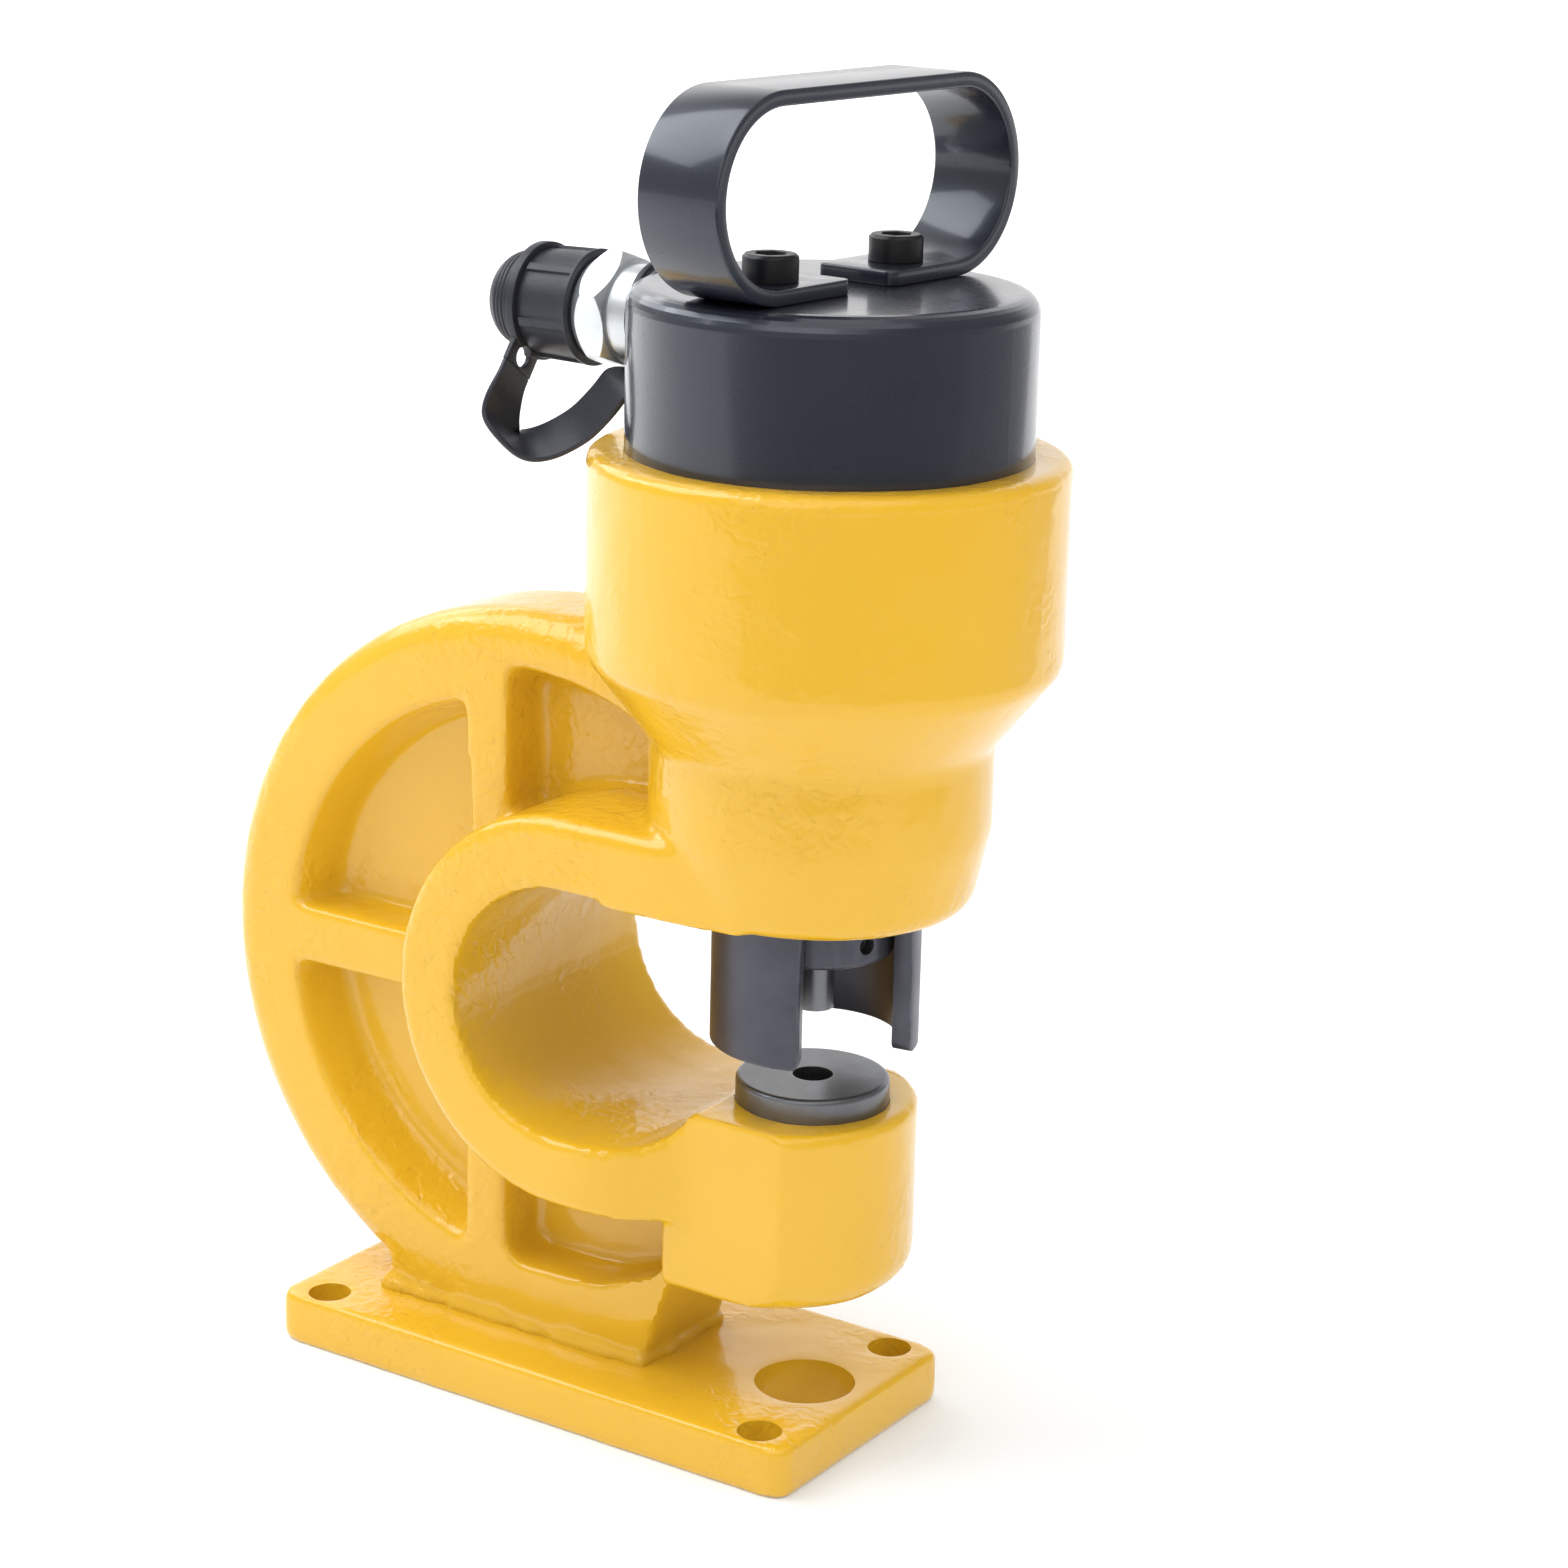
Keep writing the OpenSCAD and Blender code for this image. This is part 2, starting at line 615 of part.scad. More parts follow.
module base_plate() {
    mid = base_front - base_l / 2;
    color("gold") difference() {
        linear_extrude(base_t) polygon(soften([
            [base_front - base_l, -base_w / 2, base_corner_r], [base_front, -base_w / 2, base_corner_r],
            [base_front, base_w / 2, base_corner_r], [base_front - base_l, base_w / 2, base_corner_r]]));
        for (x = [-1, 1], y = [-1, 1])
            translate([mid + x * bench_pitch_l / 2, y * bench_pitch_w / 2, -1])
                cylinder(d = bench_hole_d, h = base_t + 2);
        translate([0, 0, -1]) cylinder(d = slug_hole_d, h = base_t + 2);
        base_screw_places() {
            translate([0, 0, -1]) cylinder(d = base_screw_d + 1, h = base_t + 2);
            translate([0, 0, -eps])
                cylinder(d1 = 2 * base_screw_d + 1.2, d2 = base_screw_d, h = base_screw_d / 2 + 0.6);
        }
    }
}

// Countersunk screws, up through the plate into the foot
module base_screws() {
    color("dimgray") base_screw_places() difference() {
        union() {
            translate([0, 0, 0.3]) cylinder(d1 = 2 * base_screw_d, d2 = base_screw_d, h = base_screw_d / 2);
            translate([0, 0, 0.3]) cylinder(d = base_screw_d, h = base_screw_l);
        }
        translate([0, 0, -1]) cylinder(d = base_screw_d * 0.7, h = 1.3 + base_screw_d * 0.35, $fn = 6);
    }
}

module cylinder_barrel() {
    r = barrel_d / 2;
    color("#25282f") difference() {
        rotate_extrude($fn = 144) polygon(soften([[0, barrel_z, 0], [r, barrel_z, 1.5],
            [r, crown_top, crown_edge_r], [0, crown_top, 0]]));
        translate([0, 0, barrel_z - 1]) cylinder(d = bore_d, h = crown_under - barrel_z + 1);
        on_coupler(-port_l) cylinder(d = port_d + 2 * thread_gap, h = port_l + 1);
        on_coupler(-spot_x + 12) cylinder(d = 8, h = spot_x - 12);
        on_coupler() cylinder(d = spot_d, h = r);
        translate([-bore_d * 0.21, 0, crown_under - 1]) cylinder(d = 6, h = port_z - crown_under + 1);
        handle_screw_places() translate([0, 0, crown_top - handle_screw_l + strap_t - 2])
            cylinder(d = handle_screw_d + 2 * thread_gap, h = handle_screw_l);
        translate([0, r - 1.2, lock_grub_z]) rotate([-90, 0, 0]) cylinder(d = grub_d * 0.7, h = 5);
        translate([0, lock_grub_y - seat_gap, lock_grub_z]) rotate([-90, 0, 0])
            cylinder(d = grub_d + 2 * seat_gap, h = collar_d);
    }
}

// The grub screw in the collar that keeps the cylinder from unscrewing
module barrel_lock_screw() {
    color("dimgray") translate([0, lock_grub_y, lock_grub_z]) rotate([-90, 0, 0])
        grub_screw(grub_d, lock_grub_l);
}

// Piston, rod and threaded nose, turned from one bar
module ram() {
    color("silver") difference() {
        union() {
            translate([0, 0, piston_z]) cylinder(d = bore_d - 2 * run_gap, h = piston_h);
            translate([0, 0, nut_top]) cylinder(d = rod_d, h = piston_z - nut_top + eps);
            translate([0, 0, ram_z]) cylinder(d = ram_nose_d, h = nut_top - ram_z + eps);
        }
        translate([0, 0, seal_z - backup_h]) ring(bore_d + 2, bore_d - 2 * seal_depth, seal_h + backup_h);
        translate([0, 0, wear_z]) ring(bore_d + 2, bore_d - 2 * wear_depth, wear_h);
        translate([0, 0, piston_top - 3]) cylinder(d = 30, h = 4);
    }
}

// A lip seal: two lips that open towards the oil
module piston_seal() {
    inner = bore_d / 2 - seal_depth + seat_gap;
    outer = bore_d / 2 - run_gap;
    mid = (inner + outer) / 2;
    color("#1f5fa8") rotate_extrude($fn = 120) polygon([[inner, seal_z + seat_gap],
        [outer, seal_z + seat_gap], [outer, seal_z + seal_h - seat_gap],
        [outer - 1.2, seal_z + seal_h - seat_gap],
        [mid, seal_z + seal_h * 0.5], [inner + 1.2, seal_z + seal_h - seat_gap],
        [inner, seal_z + seal_h - seat_gap]]);
}

module backup_ring() {
    color("ivory") translate([0, 0, backup_z + seat_gap])
        ring(bore_d - 2 * run_gap, bore_d - 2 * seal_depth + 2 * seat_gap, backup_h - seat_gap);
}

module wear_ring() {
    color("saddlebrown") translate([0, 0, wear_z + seat_gap])
        ring(bore_d - 2 * run_gap, bore_d - 2 * wear_depth + 2 * seat_gap, wear_h - 2 * seat_gap);
}

// Points of a round wire's ring number i, of which there are n
function coil_ring(i, n, turns, r, wire, z0, z1, sides) =
    let (t = i / n, a = 360 * turns * t, slope = atan((z1 - z0) / (turns * 2 * PI * r)))
    [for (k = [0 : sides - 1])
        let (b = 360 * k / sides, out = wire * cos(b), up = wire * sin(b))
        [(r + out) * cos(a) + up * sin(slope) * sin(a), (r + out) * sin(a) - up * sin(slope) * cos(a),
            z0 + (z1 - z0) * t + up * cos(slope)]];

// A coil of round wire from z0 to z1, measured at the wire's middle
module coil(turns, r, wire, z0, z1, per_turn = 16, sides = 8) {
    n = round(turns * per_turn);
    pts = [for (i = [0 : n]) each coil_ring(i, n, turns, r, wire, z0, z1, sides)];
    walls = [for (i = [0 : n - 1], k = [0 : sides - 1])
        let (a = i * sides + k, b = i * sides + (k + 1) % sides)
            each [[a, b, a + sides], [b, b + sides, a + sides]]];
    first = [for (k = [1 : sides - 2]) [0, k + 1, k]];
    last = [for (k = [1 : sides - 2]) [n * sides, n * sides + k, n * sides + k + 1]];
    polyhedron(points = pts, faces = concat(walls, first, last), convexity = 8);
}

module return_spring() {
    wire = spring_wire_d / 2;
    seat = bush_top + bush_flange_t + free_gap;
    echo("return spring: gap between turns",
        (piston_z - free_gap - seat - spring_wire_d) / spring_turns - spring_wire_d);
    color("lightsteelblue") coil(spring_turns, (rod_d + bore_d) / 4, wire,
        seat + wire, piston_z - free_gap - wire);
}

module guide_bush() {
    color("#b5813a") difference() {
        union() {
            translate([0, 0, bush_z]) cylinder(d = bush_d, h = bush_h);
            translate([0, 0, bush_top]) cylinder(d = bush_flange_d, h = bush_flange_t);
        }
        translate([0, 0, bush_z - 1]) cylinder(d = rod_d + 2 * run_gap, h = bush_h + bush_flange_t + 2);
    }
}

module rod_wiper() {
    inner = rod_d / 2 + run_gap;
    outer = wiper_d / 2;
    color("#222222") rotate_extrude($fn = 120) polygon([[inner + 1.2, wiper_z + seat_gap],
        [outer, wiper_z + seat_gap], [outer, wiper_z + wiper_h - seat_gap],
        [inner + 2, wiper_z + wiper_h - seat_gap], [inner, wiper_z + 1.2], [inner, wiper_z + 0.5]]);
}

// The stripper: a tube with a window to the front and one to the back
module stripper() {
    r = stripper_d / 2;
    color("#4a4c55") difference() {
        translate([0, 0, stripper_z])
            ring(stripper_d, stripper_d - 2 * stripper_wall, stripper_top - stripper_z);
        for (side = [0, 180]) rotate([0, 0, window_turn + side]) translate([0, 0, stripper_z - 1])
            linear_extrude(head_z - stripper_z + 3) polygon([[0, 0],
                [2 * r, -2 * r * tan(window_angle / 2)], [2 * r, 2 * r * tan(window_angle / 2)]]);
        for (side = [0, 180]) rotate([0, 0, window_turn + side]) both_sides() rotate([0, 0, window_angle / 2])
            translate([stripper_d / 2 - stripper_wall - 2, 0, stripper_z])
                leg_corner(stripper_leg_r, stripper_wall + 4);
    }
}

// What a round corner of radius r takes off a leg, along +X for length l
module leg_corner(r, l) {
    slope = cos(80) / (1 - sin(80));
    rotate([90, 0, 90]) linear_extrude(l) polygon(concat([[-0.5, -1], [r + slope, -1]],
        [for (t = [10 : 10 : 80]) [r - r * sin(t), r - r * cos(t)]], [[-0.5, r + slope / 2]]));
}

// The cap nut that holds the punch against the ram
module punch_nut() {
    r = nut_d / 2;
    color("#50525a") difference() {
        rotate_extrude($fn = 120) polygon(soften([[0, nut_z, 0], [r, nut_z, 1.6],
            [r, nut_top, 0.8], [0, nut_top, 0]]));
        translate([0, 0, nut_z - 1]) cylinder(d = punch_shank_d + 2 * seat_gap, h = nut_h);
        translate([0, 0, nut_z + nut_lip]) cylinder(d = ram_nose_d + 2 * thread_gap, h = nut_h);
        for (a = [-17 : 90 : 343]) rotate([0, 0, a]) translate([r - 4, 0, nut_z + 6.2]) rotate([0, 90, 0])
            cylinder(d = spanner_hole_d, h = 6);
    }
}

// The punch: a flanged shank, a cutting end and a centring pip
module punch() {
    land_h = punch_show - 2.4;
    color("#5a5c63") {
        translate([0, 0, tip_z]) cylinder(d = punch_d, h = land_h);
        translate([0, 0, tip_z + land_h]) cylinder(d1 = punch_d, d2 = punch_shank_d, h = 2.4);
        translate([0, 0, nut_z]) cylinder(d = punch_shank_d, h = nut_lip + 2);
        translate([0, 0, nut_z + nut_lip + seat_gap])
            cylinder(d = punch_head_d, h = punch_head_h - 2 * seat_gap);
        translate([0, 0, tip_z - 1.2]) cylinder(d1 = 0.6, d2 = 2.4, h = 1.2);
    }
}

module die() {
    r = die_d / 2;
    cut_d = punch_d + 2 * cut_clearance;
    color("#6b6d74") difference() {
        rotate_extrude($fn = 120) polygon(soften([[0, die_bottom + seat_gap, 0], [r, die_bottom + seat_gap, 1],
            [r, die_top, 1.5], [0, die_top, 0]]));
        translate([0, 0, die_bottom - 1]) cylinder(d = cut_d, h = die_seat + die_rise + 2);
        translate([0, 0, die_bottom])
            cylinder(d1 = cut_d + 2.6, d2 = cut_d + 0.4, h = die_seat + die_rise - 6);
        translate([0, r - 1, die_grub_z]) rotate([-90, 0, 0]) cylinder(d = die_grub_d * 0.8, h = 3);
    }
}

module die_set_screw() {
    color("dimgray") translate([0, die_d / 2 + seat_gap + 0.05, die_grub_z]) rotate([-90, 0, 0])
        grub_screw(die_grub_d, grub_l);
}

module handle_screw_places() {
    rotate([0, 0, handle_turn]) for (side = [-1, 1]) translate([0, side * handle_pitch / 2, 0]) children();
}

// A round-ended outline of the handle, seen along the strap's width
module handle_loop(inset) {
    r = handle_h / 2 - inset;
    for (side = [-1, 1]) translate([side * (handle_l - handle_h) / 2, handle_h / 2]) circle(r = r, $fn = 96);
    translate([-(handle_l - handle_h) / 2, inset]) square([handle_l - handle_h, 2 * r]);
}

// The handle: a flat strap bent to a loop, with both ends on the crown
module handle() {
    color("#24262c") difference() {
        translate([0, 0, crown_top]) rotate([0, 0, handle_turn]) rotate([90, 0, 90])
            translate([0, 0, -strap_w / 2]) linear_extrude(strap_w) difference() {
                handle_loop(0);
                handle_loop(strap_t);
                translate([-strap_gap / 2, -1]) square([strap_gap, strap_t + 2]);
            }
        handle_screw_places() translate([0, 0, crown_top - 1])
            cylinder(d = handle_screw_d + 1, h = strap_t + 2);
        for (side = [0, 180]) rotate([0, 0, handle_turn + side]) both_sides()
            translate([strap_w / 2 - strap_corner_r, strap_gap / 2, crown_top - 1]) difference() {
                translate([0, -0.5, 0]) cube([strap_corner_r + 0.5, strap_corner_r + 0.5, strap_t + 2]);
                translate([0, strap_corner_r, -1]) cylinder(r = strap_corner_r, h = strap_t + 4);
            }
    }
}

module handle_screws() {
    head_d = handle_screw_d * 1.5;
    color("#1e1f23") handle_screw_places() translate([0, 0, crown_top + strap_t]) difference() {
        union() {
            cylinder(d = head_d, h = handle_head_h - 0.8);
            translate([0, 0, handle_head_h - 0.8]) cylinder(d1 = head_d, d2 = head_d - 1.6, h = 0.8);
            translate([0, 0, -handle_screw_l]) cylinder(d = handle_screw_d, h = handle_screw_l + eps);
        }
        translate([0, 0, handle_head_h * 0.35])
            cylinder(d = handle_screw_d * 0.8 / cos(30), h = handle_head_h, $fn = 6);
    }
}

module coupler_body() {
    color("#dfe3e4") difference() {
        union() {
            on_coupler(-port_l + 1) cylinder(d = port_d, h = port_l - 1 + washer_t + eps);
            on_coupler(washer_t) cylinder(d = coupler_neck_d, h = coupler_neck_l + eps);
            on_coupler(hex_s) rotate([0, 0, hex_turn]) intersection() {
                cylinder(d = hex_af / cos(30), h = hex_l, $fn = 6);
                rotate_extrude() polygon(soften([[0, 0, 0], [hex_af * 0.49, 0, 1],
                    [hex_af * 0.58, hex_l * 0.2, 0], [hex_af * 0.58, hex_l * 0.58, 1],
                    [hex_af * 0.485, hex_l * 0.88, 2], [hex_af * 0.47, hex_l, 1], [0, hex_l, 0]]));
            }
            on_coupler(nipple_s - 1) cylinder(d = nipple_d, h = tip_s - nipple_s + 1);
            on_coupler(nipple_s) cylinder(d = nipple_tip_d, h = nipple_l);
        }
        on_coupler(-port_l) cylinder(d = 7, h = port_l + nipple_end + 1);
        on_coupler(hex_s - 2) cylinder(d = valve_bore_d, h = valve_s + 6 - hex_s + 2);
        on_coupler(valve_s + 5) cylinder(d = valve_bore_d + 2, h = nipple_end);
    }
}

module coupler_washer() {
    color("#9aa0a6") on_coupler(seat_gap) ring(coupler_neck_d - 0.4, port_d + 0.4, washer_t - 2 * seat_gap);
}

// The valve that seals the coupler until its mate pushes it in
module coupler_valve() {
    color("#c9a227") on_coupler(valve_s) difference() {
        union() {
            cylinder(d = valve_d, h = 4.5);
            translate([0, 0, 4.5]) cylinder(d1 = valve_d, d2 = valve_pin_d + 1, h = 3);
            translate([0, 0, 7]) cylinder(d = valve_pin_d, h = 4);
            translate([0, 0, -7]) cylinder(d = 4, h = 8);
        }
        for (a = [45 : 90 : 315]) rotate([0, 0, a]) translate([4.2, 0, -1]) cylinder(d = 1.8, h = 10);
    }
}

module valve_spring() {
    wire = 0.5;
    turns = 5;
    from = hex_s - 2 + free_gap + wire;
    to = valve_s - free_gap - wire;
    color("silver") on_coupler() coil(turns, valve_spring_d / 2, wire, from, to, 12, 6);
}

// The screwed-in ring that the valve closes against
module valve_seat_ring() {
    color("#c8ccd0") on_coupler(valve_s + 5 + seat_gap) difference() {
        cylinder(d = valve_bore_d + 2 - 2 * seat_gap, h = 5);
        translate([0, 0, -eps]) cylinder(d1 = valve_d - 0.8, d2 = valve_pin_d + 1.4, h = 2.4);
        translate([0, 0, -eps]) cylinder(d = valve_pin_d + 1.4, h = 6);
    }
}

// Radius of the domed grip at height z above the eye
function dome(z) = grip_d / 2 * pow(max(0, 1 - pow(z / grip_l, 2.5)), 0.4);

module dust_cap() {
    r = cap_d / 2;
    hub_r = cap_hub_d / 2 - run_gap;
    root = cap_skirt_l + eye_t;
    ridge = grip_l * 0.58 / grip_ridges;
    color("#26272c") on_coupler(cap_s) difference() {
        union() {
            rotate_extrude($fn = 120) polygon(concat(
                [[0, 0], [r - 0.3, 0], [r, 0.3], [r, 1], [r - 0.9, 1.5], [r - 1.5, cap_skirt_l],
                    [hub_r, cap_skirt_l], [hub_r, root]],
                [for (i = [0 : grip_ridges - 1]) let (z = i * ridge)
                    each [[dome(z) - 0.55, root + z], [dome(z + ridge * 0.35), root + z + ridge * 0.35],
                        [dome(z + ridge * 0.75), root + z + ridge * 0.75]]],
                [for (t = [0.58, 0.68, 0.78, 0.87, 0.94, 0.98]) [dome(grip_l * t), root + grip_l * t]],
                [[0, root + grip_l]]));
            for (a = [16 : 60 : 316]) rotate([0, 0, a]) intersection() {
                translate([r - 4, -1.3, 1]) cube([4, 2.6, cap_skirt_l - 2]);
                cylinder(r1 = r - 0.1, r2 = r - 0.5, h = cap_skirt_l);
            }
        }
        translate([0, 0, -1]) cylinder(d = cap_bore_d, h = tip_s + free_gap - cap_s + 1);
        cylinder(d = nipple_tip_d + 0.6, h = cap_bore_end - cap_s);
    }
}

// The eye of the strap, snapped into the dust cap's groove, with its tab
module cap_eye() {
    color("#2b2c31") on_coupler(eye_s + seat_gap) difference() {
        union() {
            cylinder(d = eye_d, h = eye_t - 2 * seat_gap);
            rotate([0, 0, tether_turn])
                translate([-eye_d / 2 * tether_tab, -tether_w / 2, (eye_t - tab_t) / 2 - seat_gap])
                cube([eye_d / 2 * (tether_tab - 0.88), tether_w, tab_t]);
        }
        translate([0, 0, -1]) cylinder(d = cap_hub_d + 2 * seat_gap, h = eye_t + 2);
        rotate([0, 0, tether_turn]) translate([-eye_d / 2 * 1.085, 0, -1]) cylinder(d = tab_slot_w, h = eye_t + 2);
    }
}

// Point t of a smooth curve that follows rows a, b, c and d
function blend_rows(a, b, c, d, t) =
    (a * pow(1 - t, 3) + b * (3 * pow(t, 3) - 6 * t * t + 4)
        + c * (-3 * pow(t, 3) + 3 * t * t + 3 * t + 1) + d * pow(t, 3)) / 6;

// The whole curve, with n steps between rows and both ends held
function smooth_rows(rows, n) =
    let (p = concat([2 * rows[0] - rows[1]], rows, [2 * rows[len(rows) - 1] - rows[len(rows) - 2]]))
    concat([for (i = [0 : len(rows) - 2], k = [0 : n - 1])
            blend_rows(p[i], p[i + 1], p[i + 2], p[i + 3], k / n)],
        [rows[len(rows) - 1]]);

// Middle of the strap at a row, in the frame of the whole tool
function tether_point(row) =
    let (s = tether_loop_s + (eye_s + eye_t / 2 - tether_loop_s) * row[0])
    [-spot_x - s, row[1] * eye_d / 2, port_z + row[2] * eye_d / 2];

// Four corners of the strap at row i
function strip_ring(rows, i, w, t) =
    let (n = len(rows), row = rows[i], mid = tether_point(row),
        d = unit(tether_point(rows[min(i + 1, n - 1)]) - tether_point(rows[max(i - 1, 0)])),
        side = unit([row[3], row[4], row[5]]), out = unit(cross(d, side)))
    [for (c = [[-1, -1], [1, -1], [1, 1], [-1, 1]]) mid + side * c.x * w * row[6] / 2 + out * c.y * t / 2];

// The strap itself and its loop around the coupler's collar
module cap_tether() {
    rows = smooth_rows(tether_rows, 2);
    n = len(rows);
    pts = [for (i = [0 : n - 1]) each strip_ring(rows, i, tether_w, tether_t)];
    walls = [for (i = [0 : n - 2], k = [0 : 3])
        let (a = i * 4 + k, b = i * 4 + (k + 1) % 4) each [[a, a + 4, b], [b, a + 4, b + 4]]];
    ends = [[0, 1, 2], [0, 2, 3], [4 * n - 4, 4 * n - 2, 4 * n - 3], [4 * n - 4, 4 * n - 1, 4 * n - 2]];
    color("#2b2c31") {
        polyhedron(points = pts, faces = concat(walls, ends), convexity = 6);
        on_coupler(tether_loop_s - tether_loop_w / 2)
            ring(2 * tether_loop_r + tether_loop_t, coupler_neck_d + 2 * free_gap, tether_loop_w);
    }
}

frame();
base_plate();
base_screws();
cylinder_barrel();
barrel_lock_screw();
ram();
piston_seal();
backup_ring();
wear_ring();
return_spring();
guide_bush();
rod_wiper();
stripper();
punch_nut();
punch();
die();
die_set_screw();
handle();
handle_screws();
coupler_body();
coupler_washer();
coupler_valve();
valve_spring();
valve_seat_ring();
dust_cap();
cap_eye();
cap_tether();
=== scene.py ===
import json
import math

import bmesh
import bpy
from mathutils import Matrix, Vector


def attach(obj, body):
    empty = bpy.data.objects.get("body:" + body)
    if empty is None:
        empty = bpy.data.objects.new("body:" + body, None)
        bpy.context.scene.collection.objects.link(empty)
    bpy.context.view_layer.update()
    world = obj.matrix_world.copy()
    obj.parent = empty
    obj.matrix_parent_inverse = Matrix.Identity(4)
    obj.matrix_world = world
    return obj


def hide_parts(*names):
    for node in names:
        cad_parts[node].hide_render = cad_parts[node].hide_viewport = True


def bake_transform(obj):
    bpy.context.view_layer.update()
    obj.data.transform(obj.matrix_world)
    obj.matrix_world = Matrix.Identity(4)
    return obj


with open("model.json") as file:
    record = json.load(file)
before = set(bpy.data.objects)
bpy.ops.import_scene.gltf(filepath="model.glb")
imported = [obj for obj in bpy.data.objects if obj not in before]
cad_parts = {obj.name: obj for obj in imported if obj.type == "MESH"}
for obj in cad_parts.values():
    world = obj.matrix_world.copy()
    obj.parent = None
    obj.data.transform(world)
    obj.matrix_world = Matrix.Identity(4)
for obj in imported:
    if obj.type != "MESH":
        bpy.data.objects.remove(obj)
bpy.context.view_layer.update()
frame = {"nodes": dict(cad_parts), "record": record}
nodes = frame["nodes"]
mm = 0.001
weldDistance = 0.00001
bevelSamples = 4


def deselectAll():
    if bpy.context.object and bpy.context.object.mode != 'OBJECT':
        bpy.ops.object.mode_set(mode='OBJECT')
    bpy.ops.object.select_all(action='DESELECT')


def pick(obj):
    deselectAll()
    obj.select_set(True)
    bpy.context.view_layer.objects.active = obj


def copyOfNode(nodeName, pieceName):
    # a welded copy of the solid, which is then shaped further
    mesh = nodes[nodeName].data.copy()
    mesh.name = pieceName
    mesh.materials.clear()
    obj = bpy.data.objects.new(pieceName, mesh)
    bpy.context.scene.collection.objects.link(obj)
    pick(obj)
    bpy.ops.object.mode_set(mode='EDIT')
    bpy.ops.mesh.select_all(action='SELECT')
    bpy.ops.mesh.remove_doubles(threshold=weldDistance)
    bpy.ops.object.mode_set(mode='OBJECT')
    return obj


def applyModifier(obj, kind, **values):
    pick(obj)
    mod = obj.modifiers.new(kind.lower(), kind)
    for key, value in values.items():
        setattr(mod, key, value)
    bpy.ops.object.modifier_apply(modifier=mod.name)


def smoothByAngle(obj, degrees):
    pick(obj)
    bpy.ops.object.shade_smooth_by_angle(angle=math.radians(degrees))


def bevelEdges(obj, width, segments, degrees):
    applyModifier(obj, 'BEVEL', width=width, segments=segments, limit_method='ANGLE',
                  angle_limit=math.radians(degrees), miter_outer='MITER_ARC', use_clamp_overlap=True,
                  harden_normals=False)


def addNode(tree, kind, **values):
    node = tree.nodes.new(kind)
    for key, value in values.items():
        if key in node.bl_rna.properties:
            setattr(node, key, value)
        else:
            node.inputs[key].default_value = value
    return node


def newGroup(name, inputs, outputs):
    group = bpy.data.node_groups.new(name, 'ShaderNodeTree')
    for label, kind, value in inputs:
        socket = group.interface.new_socket(name=label, in_out='INPUT', socket_type=kind)
        socket.default_value = value
    for label, kind in outputs:
        group.interface.new_socket(name=label, in_out='OUTPUT', socket_type=kind)
    return group, group.nodes.new('NodeGroupInput'), group.nodes.new('NodeGroupOutput')


def ramp(tree, source, stops):
    # two stops, each with its place and its grey
    node = tree.nodes.new('ShaderNodeValToRGB')
    for element, (place, grey) in zip(node.color_ramp.elements, stops):
        element.position = place
        element.color = (grey, grey, grey, 1)
    tree.links.new(source, node.inputs[0])
    return node.outputs[0]


def maths(tree, operation, a, b, clamp=False):
    node = tree.nodes.new('ShaderNodeMath')
    node.operation = operation
    node.use_clamp = clamp
    for socket, value in zip(node.inputs, (a, b)):
        if isinstance(value, (int, float)):
            socket.default_value = value
        else:
            tree.links.new(value, socket)
    return node.outputs[0]


def noise(tree, coords, scale, detail, roughness, distortion=0.0):
    node = addNode(tree, 'ShaderNodeTexNoise', Detail=detail, Roughness=roughness, Distortion=distortion)
    tree.links.new(coords, node.inputs['Vector'])
    if isinstance(scale, (int, float)):
        node.inputs['Scale'].default_value = scale
    else:
        tree.links.new(scale, node.inputs['Scale'])
    return node.outputs['Fac']


def buildCastRelief():
    # orange peel of thick paint over a sand casting, with pits and soft dents
    # each noise holds its scale, detail and roughness, and some a distortion
    look = {'peel': (340, 2.0, 0.5, 0.3), 'swell': (60, 1.0, 0.4), 'dents': (205, 1.3, 0.45, 0.9),
            'patch': (17, 2.0, 0.5), 'pits': (430, 1.0, 0.5),
            'patchEdge': [(0.47, 0.03), (0.57, 1.0)], 'pitEdge': [(0.66, 0.0), (0.74, 1.0)]}
    group, ins, outs = newGroup('castRelief', [
        ('Peel', 'NodeSocketFloat', 0.5), ('Dents', 'NodeSocketFloat', 0.5),
        ('Pits', 'NodeSocketFloat', 0.3)],
        [('Height', 'NodeSocketFloat'), ('Pit Mask', 'NodeSocketFloat'), ('Patch', 'NodeSocketFloat')])
    coords = addNode(group, 'ShaderNodeTexCoord').outputs['Object']
    peel = noise(group, coords, *look['peel'])
    swell = noise(group, coords, *look['swell'])
    dents = noise(group, coords, *look['dents'])
    patch = noise(group, coords, *look['patch'])
    rough = ramp(group, patch, look['patchEdge'])
    pitMask = ramp(group, noise(group, coords, *look['pits']), look['pitEdge'])
    pitPatch = maths(group, 'MULTIPLY', pitMask, rough)
    height = maths(group, 'ADD', maths(group, 'MULTIPLY', peel, ins.outputs['Peel']), swell)
    dentPart = maths(group, 'MULTIPLY', maths(group, 'MULTIPLY', dents, rough), ins.outputs['Dents'])
    pitPart = maths(group, 'MULTIPLY', pitPatch, ins.outputs['Pits'])
    height = maths(group, 'SUBTRACT', maths(group, 'ADD', height, dentPart), pitPart)
    group.links.new(height, outs.inputs['Height'])
    group.links.new(pitPatch, outs.inputs['Pit Mask'])
    group.links.new(patch, outs.inputs['Patch'])
    return group


